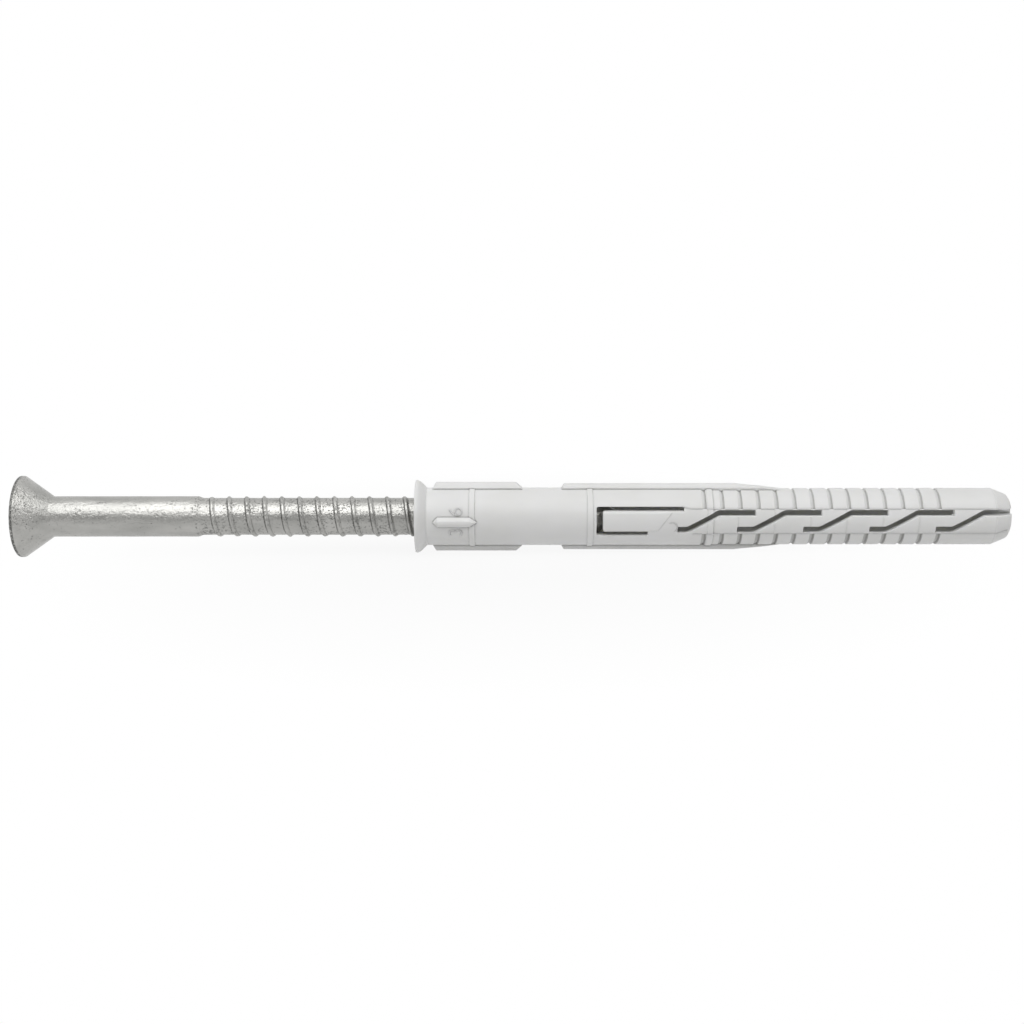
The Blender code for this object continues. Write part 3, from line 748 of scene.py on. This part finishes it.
def add_long_rib(bm, start, rise, length, fall, height_front, height_back, foot_back, side):
    """A rib with upright shoulders, sloped sides and ends, and rounded edges round its top."""
    shoulder = BODY_RADIUS + RIB_SHOULDER
    back_slope = fall / (BODY_RADIUS + height_back - foot_back)

    def corners(radius_front, radius_back):
        x_front = start + rise * (radius_front - BODY_RADIUS) / height_front
        x_back = start + length + (BODY_RADIUS + height_back - radius_back) * back_slope
        places = []
        for x, radius in ((x_front, radius_front), (x_back, radius_back)):
            half = 0.5 * RIB_WIDTH - max(radius - shoulder, 0.0) * math.tan(RIB_SIDE_SLOPE)
            places.append((x, -radius, half))
        front, back = places
        return [front, back, (*back[:2], -back[2]), (*front[:2], -front[2])]

    root = BODY_RADIUS - RIB_ROOT
    sections = [
        corners(root, root),
        corners(shoulder, shoulder),
        corners(BODY_RADIUS + height_front, BODY_RADIUS + height_back),
    ]
    part = bmesh.new()
    loft(part, sections)
    soften(part, shoulder + TOLERANCE, RIB_EDGE, 3)
    take_in(bm, part, side)


def take_in(bm, part, side):
    """Moves a small bmesh onto a side of the sleeve and into a bigger bmesh."""
    bmesh.ops.transform(part, matrix=side, verts=part.verts)
    scrap = bpy.data.meshes.new("scrap")
    part.to_mesh(scrap)
    part.free()
    bm.from_mesh(scrap)
    bpy.data.meshes.remove(scrap)


def add_short_rib(bm, side):
    """A boat-shaped rib: pointed ends, straight shoulders and a narrow ridge."""
    half = 0.5 * SHORT_RIB_WIDTH
    start = SHORT_RIB_START
    straight = start + SHORT_RIB_POINT
    straight_end = straight + SHORT_RIB_LENGTH
    end = straight_end + SHORT_RIB_TAIL

    def outline(inset, half_width):
        return [
            (start + inset, 0.0),
            (straight, -half_width),
            (straight_end, -half_width),
            (end - inset, 0.0),
            (straight_end, half_width),
            (straight, half_width),
        ]

    stages = (
        (BODY_RADIUS - RIB_ROOT, outline(0.0, half)),
        (BODY_RADIUS + SHORT_RIB_SHOULDER, outline(0.0, half)),
        (BODY_RADIUS + SHORT_RIB_HEIGHT, outline(SHORT_RIB_POINT, 0.5 * SHORT_RIB_RIDGE)),
    )
    part = bmesh.new()
    loft(part, [[(x, -radius, z) for x, z in points] for radius, points in stages])
    soften(part, BODY_RADIUS, SHORT_RIB_EDGE, 2)
    take_in(bm, part, side)


def add_tongue_pad(bm, side):
    """The tongue's raised face, rounded towards its slot, with a slanted step at its root."""
    inner = BODY_RADIUS - RIB_ROOT
    start = TONGUE_SLOT_START + TONGUE_SLOT_END_WIDTH
    part = bmesh.new()
    sections = []
    for step in range(PAD_STEPS + 1):
        share = step / PAD_STEPS
        angle = TONGUE_HALF_ANGLE * (2.0 * share - 1.0)
        to_edge = (TONGUE_HALF_ANGLE - abs(angle)) * BODY_RADIUS / TONGUE_PAD_ROUND
        rise = TONGUE_PAD_HEIGHT * math.sin(0.5 * math.pi * min(to_edge, 1.0))
        end = TONGUE_SLOT_START + TONGUE_PAD_END + TONGUE_PAD_SLANT * share
        corners = [
            (start, inner),
            (end, inner),
            (end + TONGUE_PAD_SINK, BODY_RADIUS - TONGUE_PAD_SINK),
            (end - TONGUE_PAD_SLOPE, BODY_RADIUS + rise),
        ]
        for turn in map(math.radians, (90.0, 60.0, 30.0, 0.0)):
            lift = rise * math.sin(turn)
            along = TONGUE_PAD_ROUND * (1.0 - math.cos(turn))
            corners.append((start + along, BODY_RADIUS + lift - TOLERANCE * (turn == 0.0)))
        sections.append([(x, -radius * math.cos(angle), radius * math.sin(angle)) for x, radius in corners])
    loft(part, sections)
    take_in(bm, part, side)


def sleeve_ribs():
    bm = bmesh.new()
    for side in (ABOVE, BELOW):
        add_long_rib(
            bm, GUIDE_RIB_START, GUIDE_RIB_RISE, GUIDE_RIB_LENGTH - GUIDE_RIB_FALL, GUIDE_RIB_FALL,
            GUIDE_RIB_HEIGHT, GUIDE_RIB_HEIGHT, BODY_RADIUS, side,
        )
        add_long_rib(
            bm, KEY_RIB_START, KEY_RIB_RISE, KEY_RIB_LENGTH, KEY_RIB_FALL,
            KEY_RIB_HEIGHT_FRONT, KEY_RIB_HEIGHT_BACK, GRIP_RADIUS, side,
        )
    for side in (FRONT, BACK):
        add_short_rib(bm, side)
        add_tongue_pad(bm, side)
    return bm


# Sleeve: slots

def tongue_slot_outline():
    """The U-shaped slot round three sides of the tongue, with one leg longer than the other."""
    outside = BODY_RADIUS * math.sin(TONGUE_SLOT_HALF_ANGLE)
    inside = BODY_RADIUS * math.sin(TONGUE_HALF_ANGLE)
    start = TONGUE_SLOT_START - TONGUE_GAP_EXTRA
    tongue = TONGUE_SLOT_START + TONGUE_SLOT_END_WIDTH
    short_end = TONGUE_SLOT_START + TONGUE_SHORT_LEG
    long_end = TONGUE_SLOT_START + TONGUE_LONG_LEG
    corners = [
        (start, -outside, TONGUE_CORNER),
        (short_end, -outside, LEG_CORNER),
        (short_end, -inside, LEG_CORNER),
        (tongue, -inside, TONGUE_CORNER),
        (tongue, inside, TONGUE_CORNER),
        (long_end, inside, LEG_CORNER),
        (long_end, outside, LEG_CORNER),
        (start, outside, TONGUE_CORNER),
    ]
    return rounded(corners)


def zigzag_outline(start, low_leg_end, end):
    """A slot along a low leg, a diagonal and a high leg."""
    low_top = -ZIGZAG_HEIGHT + ZIGZAG_HALF_WIDTH + LOW_LEG_RISE
    diagonal_end = low_leg_end + ZIGZAG_DIAGONAL
    slope = math.atan2(2.0 * ZIGZAG_HEIGHT, ZIGZAG_DIAGONAL)
    shift = ZIGZAG_HALF_WIDTH * math.tan(0.5 * slope)
    corners = [
        (start, -ZIGZAG_TOP, ZIGZAG_END_CORNER),
        (low_leg_end + shift, -ZIGZAG_TOP, ZIGZAG_OUTER_BEND),
        (diagonal_end + shift, HIGH_LEG_BOTTOM, ZIGZAG_INNER_BEND),
        (end, HIGH_LEG_BOTTOM, ZIGZAG_END_CORNER),
        (end, ZIGZAG_TOP, ZIGZAG_END_CORNER),
        (diagonal_end - shift, ZIGZAG_TOP, ZIGZAG_OUTER_BEND),
        (low_leg_end - shift, low_top, ZIGZAG_INNER_BEND),
        (start, low_top, ZIGZAG_END_CORNER),
    ]
    return rounded(corners)


def zigzag_outlines(stagger):
    """The row of slots from the tip back to the tongue. The last one meets the tip's own slot."""
    outlines = []
    start = SLEEVE_LENGTH - ZIGZAG_LAST_START + stagger
    end = SLEEVE_LENGTH - TIP_SLOT_LENGTH + SLOT_OVERLAP
    while start + ZIGZAG_LOW_LEG - ZIGZAG_SHORTEST_LEG > ZIGZAG_ZONE_START:
        outlines.append(zigzag_outline(max(start, ZIGZAG_ZONE_START), start + ZIGZAG_LOW_LEG, end))
        start -= ZIGZAG_PITCH
        end = start + ZIGZAG_LENGTH
    return outlines


def divided(outline):
    """An outline with its long straight edges cut into short ones."""
    result = []
    for (x, z), (after_x, after_z) in zip(outline, outline[1:] + outline[:1]):
        pieces = max(1, math.ceil(math.dist((x, z), (after_x, after_z)) / OUTLINE_STEP))
        for piece in range(pieces):
            share = piece / pieces
            result.append((x + (after_x - x) * share, z + (after_z - z) * share))
    return result


def outward_normals(outline):
    """For each point of an outline that runs anticlockwise in x and z, the way out of it."""
    normals = []
    for before, after in zip(outline[-1:] + outline[:-1], outline[1:] + outline[:1]):
        along = (after[0] - before[0], after[1] - before[1])
        length = math.hypot(*along)
        normals.append((along[1] / length, -along[0] / length))
    return normals


def add_slot(bm, outline, inner_reach, side):
    """A slot through the wall along the mould's pull, whose rim is rounded where it meets the skin."""
    points = divided(outline)
    normals = outward_normals(points)
    loops = [[(x, -inner_reach, z) for x, z in points]]
    for out, lift in RIM_PROFILE:
        loop = []
        for (x, z), (nx, nz) in zip(points, normals):
            px = x + nx * out * SLOT_RIM
            pz = z + nz * out * SLOT_RIM
            surface = math.sqrt(skin_radius(px) ** 2 - pz ** 2)
            loop.append((px, -(surface + lift * SLOT_RIM), pz))
        loops.append(loop)
    out = RIM_PROFILE[-1][0] * SLOT_RIM
    outer = COLLAR_RADIUS + CUTTER_MARGIN
    loops.append([(x + nx * out, -outer, z + nz * out) for (x, z), (nx, nz) in zip(points, normals)])
    part = bmesh.new()
    loft(part, loops)
    part.faces.ensure_lookup_table()
    for face in part.faces[:len(points)]:
        face.material_index = SLOT_WALL
    take_in(bm, part, side)


def sleeve_slots():
    bm = bmesh.new()
    for side, stagger in ((FRONT, 0.0), (BACK, ZIGZAG_STAGGER)):
        for outline in [tongue_slot_outline(), *zigzag_outlines(stagger)]:
            add_slot(bm, outline, SLOT_INNER_REACH, side)
    return bm


def tip_slots():
    """The last slots' ways out through the tip, cut on their own, because they overlap those slots."""
    start = SLEEVE_LENGTH - TIP_SLOT_LENGTH
    end = SLEEVE_LENGTH + CUTTER_MARGIN
    outline = [(start, HIGH_LEG_BOTTOM), (end, HIGH_LEG_BOTTOM), (end, ZIGZAG_TOP), (start, ZIGZAG_TOP)]
    bm = bmesh.new()
    for side in (FRONT, BACK):
        add_slot(bm, outline, TIP_SLOT_INNER_REACH, side)
    return bm


# Sleeve: fine raised lines

def add_line(bm, path, half_width, height, side, slot=0):
    """A fine raised line on the skin along a path of distances and arc lengths up from the middle."""
    part = bmesh.new()
    rows = []
    for before, (x, arc), after in zip(path[:1] + path, path, path[1:] + path[-1:]):
        along = Vector((after[0] - before[0], after[1] - before[1])).normalized()
        across = Vector((-along.y, along.x))
        radius = skin_radius(x)
        row = []
        for share, lift in ((-1.0, -LINE_ROOT), (-0.5, height), (0.5, height), (1.0, -LINE_ROOT)):
            place = Vector((x, arc)) + across * half_width * share
            angle = place.y / radius
            reach = radius + lift
            row.append(part.verts.new((place.x, -reach * math.cos(angle), reach * math.sin(angle))))
        rows.append(row)
    for lower, upper in zip(rows, rows[1:]):
        for index in range(3):
            part.faces.new((lower[index], lower[index + 1], upper[index + 1], upper[index]))
    part.faces.new(rows[0])
    part.faces.new(rows[-1])
    for face in part.faces:
        face.material_index = slot
    take_in(bm, part, side)


def arc_path(centre_x, centre_arc, radius, start, end, steps=14):
    """A circular path on the skin between two angles in degrees."""
    turns = [math.radians(start + (end - start) * step / steps) for step in range(steps + 1)]
    return [(centre_x + radius * math.cos(turn), centre_arc + radius * math.sin(turn)) for turn in turns]


def digit_strokes():
    """Two plain digits, each as strokes in a box one wide and one and a half high."""
    three = [
        arc_path(0.48, 1.12, 0.36, 150.0, -75.0),
        arc_path(0.46, 0.40, 0.40, 75.0, -150.0),
    ]
    six = [
        arc_path(0.50, 0.40, 0.40, 0.0, 360.0, 24),
        arc_path(1.28, 0.42, 1.18, 180.0, 116.0),
    ]
    return three, six


def seam_paths():
    """The mould's seams beside a band, one stretch between each two grooves, and the bend that leads in."""
    first = GROOVE_EDGES[0] - GROOVE_WIDTH
    spans = [(first - SEAM_LEAD, first)]
    spans += [(edge, edge + GROOVE_PITCH - GROOVE_WIDTH) for edge in GROOVE_EDGES[:-1]]
    spans += [(GROOVE_EDGES[-1], SLEEVE_LENGTH - TIP_CUT_SHORT - TIP_EDGE - SEAM_STOP)]
    paths = []
    for sign in (1.0, -1.0):
        for start, end in spans:
            places = [start + (end - start) * step / SEAM_STEPS for step in range(SEAM_STEPS + 1)]
            paths.append([(x, sign * skin_radius(x) * BAND_HALF_ANGLE) for x in places])
    bend = []
    for step in range(SEAM_BEND_STEPS + 1):
        x = SEAM_START + (first - SEAM_LEAD - SEAM_START) * step / SEAM_BEND_STEPS
        arc = BODY_RADIUS * BAND_HALF_ANGLE + SEAM_BEND * (1.0 - step / SEAM_BEND_STEPS) ** 2
        bend.append((x, arc))
    return [*paths, bend]


def sleeve_lines():
    """Mould seams along the bands, the gate's mark and two digits."""
    bm = bmesh.new()
    for side in (FRONT, BACK):
        for path in seam_paths():
            add_line(bm, path, SEAM_HALF_WIDTH, SEAM_HEIGHT, side)
        add_line(bm, arc_path(*GATE_MARK), GATE_HALF_WIDTH, GATE_HEIGHT, side)
    for angle, strokes in zip(DIGIT_ANGLES, digit_strokes()):
        middle = BODY_RADIUS * angle
        for stroke in strokes:
            path = [(DIGIT_START - v * DIGIT_TALL, middle + (u - 0.5) * DIGIT_WIDE) for u, v in stroke]
            add_line(bm, path, DIGIT_HALF_WIDTH, DIGIT_HEIGHT, FRONT, RAISED)
    return bm


def mark_groove_shade(mesh):
    """Marks the grooves' floors for painted shade, most of all on the underside, where less light falls."""
    groove = mesh.attributes.new("groove", "FLOAT", "POINT")
    for vert in mesh.vertices:
        x, y, z = vert.co
        depth = tube_radius(x) - math.hypot(y, z)
        along = GROOVE_EDGES[0] - GROOVE_WIDTH < x < GROOVE_EDGES[-1]
        below = 0.3 * TOLERANCE < depth < GROOVE_DEPTH + 2.0 * TOLERANCE
        if along and below and math.atan2(abs(z), abs(y)) > BAND_HALF_ANGLE - 0.01:
            low = min(max(0.4 - z / GRIP_RADIUS, 0.0), 1.0)
            deep = min(depth / GROOVE_DEPTH * (1.0 + 30.0 * low), 1.0)
            groove.data[vert.index].value = deep * (0.3 + 0.7 * low)


def make_sleeve(materials):
    """The sleeve, with the materials of its skin, of its slots' walls with painted light and of the raised
    figures with a painted highlight.
    """
    sleeve = make_object("sleeve_skin", sleeve_tube(), *materials)
    apply_boolean(sleeve, sleeve_ribs(), materials, "UNION")
    apply_boolean(sleeve, sleeve_slots(), materials, "DIFFERENCE")
    apply_boolean(sleeve, tip_slots(), materials, "DIFFERENCE")
    merge_into(sleeve, sleeve_lines())
    mark_groove_shade(sleeve.data)
    shade_turned(sleeve, SLEEVE_SMOOTH_ANGLE)
    return sleeve


# Materials

def new_material(name):
    """A material with only its output and Principled shader, and its tree."""
    material = bpy.data.materials.new(name)
    material.use_nodes = True
    tree = material.node_tree
    return material, tree, tree.nodes["Principled BSDF"]


def fill(tree, node, inputs):
    """Sets a node's inputs, each to a value or to another node's output."""
    for name, value in inputs.items():
        if isinstance(value, bpy.types.NodeSocket):
            tree.links.new(value, node.inputs[name])
        else:
            node.inputs[name].default_value = value


def put(tree, kind, inputs=None, **settings):
    """Adds a node, with its settings and its inputs."""
    node = tree.nodes.new(kind)
    for name, value in settings.items():
        setattr(node, name, value)
    fill(tree, node, inputs or {})
    return node


def grain(tree, place, scale, detail, roughness=0.5):
    """Noise at a scale of so many waves to the metre, along a place vector."""
    inputs = {"Vector": place, "Scale": scale, "Detail": detail, "Roughness": roughness}
    return put(tree, "ShaderNodeTexNoise", inputs).outputs["Fac"]


def spread(tree, value, low, high, to_low=0.0, to_high=1.0):
    """Maps a value from one range to another, clamped."""
    inputs = {"Value": value, "From Min": low, "From Max": high, "To Min": to_low, "To Max": to_high}
    return put(tree, "ShaderNodeMapRange", inputs).outputs["Result"]


def blend_colours(tree, share, first, second):
    inputs = {"Factor": share, 6: first, 7: second}
    return put(tree, "ShaderNodeMix", inputs, data_type="RGBA").outputs[2]


def reckon(tree, operation, *values):
    return put(tree, "ShaderNodeMath", dict(enumerate(values)), operation=operation).outputs[0]


def add_up(tree, *terms):
    """The sum of outputs, each with its weight."""
    total = 0.0
    for value, weight in terms:
        total = reckon(tree, "MULTIPLY_ADD", value, weight, total)
    return total


def attribute(tree, name):
    """A mark that the mesh carries."""
    return put(tree, "ShaderNodeAttribute", attribute_name=name).outputs["Fac"]


def crease(tree, reach):
    """How deep a place lies in a corner or groove of its own piece: nothing in the open."""
    node = put(tree, "ShaderNodeAmbientOcclusion", {"Distance": reach}, samples=AO_SAMPLES, only_local=True)
    return reckon(tree, "SUBTRACT", 1.0, node.outputs["AO"])


def zinc_material():
    """Hot-dip zinc: dull silver, with lumps, runs along the axis, fine grain and pits, painted shade in the
    thread's crevices and a darker head land.
    """
    material, tree, shader = new_material("galvanised_steel_look")
    place = put(tree, "ShaderNodeTexCoord").outputs["Object"]
    along = put(tree, "ShaderNodeMapping", {"Vector": place, "Scale": (0.35, 1.0, 1.0)}).outputs["Vector"]
    patches = grain(tree, along, 420.0, 3.0)
    runs = grain(tree, along, 1100.0, 3.0)
    lumps = grain(tree, place, 1500.0, 3.0)
    fine = grain(tree, place, 4200.0, 4.0, 0.6)
    specks = grain(tree, place, 3000.0, 2.0, 0.6)
    clusters = grain(tree, place, 330.0, 2.0)
    pitting = add_up(tree, (specks, 1.0), (clusters, 0.45), (attribute(tree, "coarse"), 0.075))
    pits = spread(tree, pitting, 0.895, 0.945)
    cloudy = blend_colours(tree, spread(tree, patches, 0.35, 0.65), ZINC_DARK, ZINC_PALE)
    pitted = blend_colours(tree, pits, cloudy, ZINC_PIT)
    ragged = spread(tree, lumps, 0.36, 0.50, 0.4, 1.0)
    # Painted shade: dark ragged lines in the thread's crevices, which are also rougher
    crevice_shade_mask = reckon(tree, "MULTIPLY", attribute(tree, "crevice_shade"), ragged)
    shade_painted = blend_colours(tree, crevice_shade_mask, pitted, ZINC_CREVICE_SHADE)
    # The head's land takes a darker colour and more roughness, with pale specks left in it
    speckled = spread(tree, specks, 0.52, 0.60, 1.0, 0.1)
    land_darkening = reckon(tree, "MULTIPLY", attribute(tree, "land"), speckled)
    roughness = add_up(tree, (patches, 0.20), (pits, 0.25), (fine, 0.10), (crevice_shade_mask, 0.3), (land_darkening, 0.3))
    height = add_up(tree, (runs, 0.60), (lumps, 0.75), (fine, 0.55), (pits, -0.45))
    bump = put(tree, "ShaderNodeBump", {"Height": height, "Strength": 1.0, "Distance": ZINC_BUMP})
    fill(tree, shader, {
        "Base Color": blend_colours(tree, land_darkening, shade_painted, LAND_DARK_COLOUR),
        "Metallic": 1.0,
        "Roughness": spread(tree, roughness, 0.0, 1.0, *ZINC_ROUGHNESS),
        "Normal": bump.outputs["Normal"],
    })
    return material


def nylon_material(name, pale, crease_shade=1.0):
    """Moulded nylon: pale grey and satin, with a fine grain and slight waves. Shade is painted into its
    creases, from the piece's own occlusion, and into the marked grooves, and it lets a little light
    through into its slots."""
    material, tree, shader = new_material(name)
    place = put(tree, "ShaderNodeTexCoord").outputs["Object"]
    waves = grain(tree, place, 130.0, 2.0)
    mottle = grain(tree, place, 900.0, 3.0)
    fine = grain(tree, place, 6000.0, 2.0)
    clean = blend_colours(
        tree, spread(tree, waves, 0.35, 0.65),
        (pale - 0.030, pale - 0.030, pale - 0.042, 1.0), (pale, pale, pale - 0.005, 1.0),
    )
    # Painted shade: darker colour where the nylon's own occlusion is deep, in creases and at the feet of
    # ribs and lines
    shelter = crease(tree, NYLON_CREASE_SHADE_REACH)
    crease_shade_share = spread(tree, shelter, 0.08, 0.42, 0.0, crease_shade)
    shade_painted = blend_colours(tree, crease_shade_share, clean, NYLON_CREASE_SHADE)
    # Painted shade on the grooves' floors, strongest on the underside
    groove_shade = spread(tree, attribute(tree, "groove"), 0.0, 1.0, 0.0, 0.55)
    height = add_up(tree, (waves, 1.2), (mottle, 0.25), (fine, 0.06))
    bump = put(tree, "ShaderNodeBump", {"Height": height, "Strength": 1.0, "Distance": NYLON_BUMP})
    fill(tree, shader, {
        "Base Color": blend_colours(tree, groove_shade, shade_painted, NYLON_GROOVE_SHADE),
        "Subsurface Weight": 0.35,
        "Subsurface Scale": 1.2 * MM,
        "Subsurface Radius": (1.0, 1.0, 0.9),
        "Roughness": spread(tree, mottle, 0.3, 0.7, *NYLON_ROUGHNESS),
        "Normal": bump.outputs["Normal"],
    })
    return material


# Studio

def seen_directly(tree):
    """One for rays from the camera, reflections and see-through rays, and nothing for other light."""
    path = put(tree, "ShaderNodeLightPath").outputs
    rays = ("Is Camera Ray", "Is Glossy Ray", "Is Transmission Ray")
    share = add_up(tree, *((path[ray], 1.0) for ray in rays))
    return reckon(tree, "MINIMUM", share, 1.0)


def floor_material():
    """Matt white, which takes the fixing's soft shadow, and runs out into plain white round it."""
    material, tree, shader = new_material("white_floor")
    fill(tree, shader, {"Base Color": (FLOOR_GREY, FLOOR_GREY, FLOOR_GREY, 1.0), "Roughness": 0.9})
    place = put(tree, "ShaderNodeTexCoord").outputs["Object"]
    away = put(tree, "ShaderNodeVectorMath", {0: place}, operation="LENGTH").outputs["Value"]
    far = spread(tree, away, *SHADOW_REACH, LEAST_WHITE, 1.0)
    glow = spread(tree, seen_directly(tree), 0.0, 1.0, FLOOR_GLOW, 1.0)
    share = reckon(tree, "MULTIPLY", far, glow)
    white = put(tree, "ShaderNodeEmission", {"Color": (1.0, 1.0, 1.0, 1.0), "Strength": 1.0})
    mixed = put(tree, "ShaderNodeMixShader", {0: share, 1: shader.outputs[0], 2: white.outputs[0]})
    output = next(node for node in tree.nodes if node.type == "OUTPUT_MATERIAL")
    tree.links.new(mixed.outputs[0], output.inputs["Surface"])
    return material


def make_floor():
    bm = bmesh.new()
    bmesh.ops.create_grid(bm, x_segments=1, y_segments=1, size=FLOOR_HALF_SIZE)
    floor = make_object("floor", bm, floor_material())


def make_card():
    """A grey card low in front, for the zinc alone, which reflects the dim room behind the camera."""
    bm = bmesh.new()
    low, high = CARD_HEIGHTS
    corners = [(-CARD_REACH, low), (CARD_REACH, low), (CARD_REACH, high), (-CARD_REACH, high)]
    bm.faces.new([bm.verts.new((x, -CARD_DISTANCE, z)) for x, z in corners])
    material, tree, shader = new_material("grey_card")
    fill(tree, shader, {
        "Base Color": (0.0, 0.0, 0.0, 1.0),
        "Emission Color": (1.0, 1.0, 1.0, 1.0),
        "Emission Strength": CARD_GREY,
    })
    card = make_object("grey_card", bm, material)
    for rays in ("camera", "diffuse", "shadow", "transmission"):
        setattr(card, f"visible_{rays}", False)


def make_world():
    """A plain world: dim for the light that it gives, and white where it is seen."""
    world = bpy.data.worlds.new("studio")
    world.use_nodes = True
    tree = world.node_tree
    strength = spread(tree, seen_directly(tree), 0.0, 1.0, WORLD_GLOW, 1.0)
    fill(tree, tree.nodes["Background"], {"Color": (1.0, 1.0, 1.0, 1.0), "Strength": strength})
    bpy.context.scene.world = world


def softbox(name, place, elevation, distance, width, height, radiance):
    """A rectangular lamp over the fixing, turned to it. Elevations past 90 degrees are behind it."""
    data = bpy.data.lights.new(name, "AREA")
    data.shape = "RECTANGLE"
    data.size = width
    data.size_y = height
    data.energy = radiance * math.pi * width * height
    lamp = add_object(name, data)
    angle = math.radians(elevation)
    lamp.location = (place, -distance * math.cos(angle), distance * math.sin(angle))
    lamp.rotation_euler = (0.5 * math.pi - angle, 0.0, 0.0)
    lamp.visible_camera = False
    return lamp


def make_camera(sleeve_place):
    """The photograph's camera: level with a point of the axis, a little above it."""
    data = bpy.data.cameras.new("camera")
    data.lens = CAMERA_LENS
    data.sensor_width = 36.0
    data.clip_start = 0.01
    data.clip_end = 10.0
    camera = add_object("camera", data)
    foot = sleeve_place @ Vector((CAMERA_PLACE, 0.0, 0.0))
    back = Vector((0.0, -math.cos(CAMERA_ELEVATION), math.sin(CAMERA_ELEVATION)))
    pitch = 0.5 * math.pi - CAMERA_ELEVATION + CAMERA_PITCH_LIFT
    turn = (
        Matrix.Rotation(CAMERA_YAW, 4, "Z")
        @ Matrix.Rotation(pitch, 4, "X")
        @ Matrix.Rotation(CAMERA_ROLL, 4, "Z")
    )
    camera.matrix_world = Matrix.Translation(foot + back * CAMERA_DISTANCE) @ turn
    bpy.context.scene.camera = camera


def main():
    sleeve_place, screw_place = lay_on_axis()
    screw = make_screw(zinc_material())
    screw.data.transform(screw_place)
    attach(screw, "screw")
    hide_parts("screw")
    sleeve = make_sleeve((
        nylon_material("pale_grey_nylon_look", NYLON_PALE),
        # Painted light: a paler copy of the nylon on the slots' walls, without crease shade
        nylon_material("slot_wall_painted_light_look", SLOT_WALL_LIT_PALE, crease_shade=0.0),
        # Painted highlight: a paler copy of the nylon on the raised figures, without crease shade
        nylon_material("raised_figures_painted_highlight_look", RAISED_LIT_PALE, crease_shade=0.0),
    ))
    sleeve.data.transform(sleeve_place)
    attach(sleeve, "sleeve")
    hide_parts("sleeve")
    make_floor()
    make_card()
    make_world()
    softbox("key", *KEY_LAMP)
    top = softbox("top", *TOP_LAMP)
    top.visible_glossy = False
    make_camera(sleeve_place)
    bpy.context.scene.view_settings.view_transform = "Standard"


main()
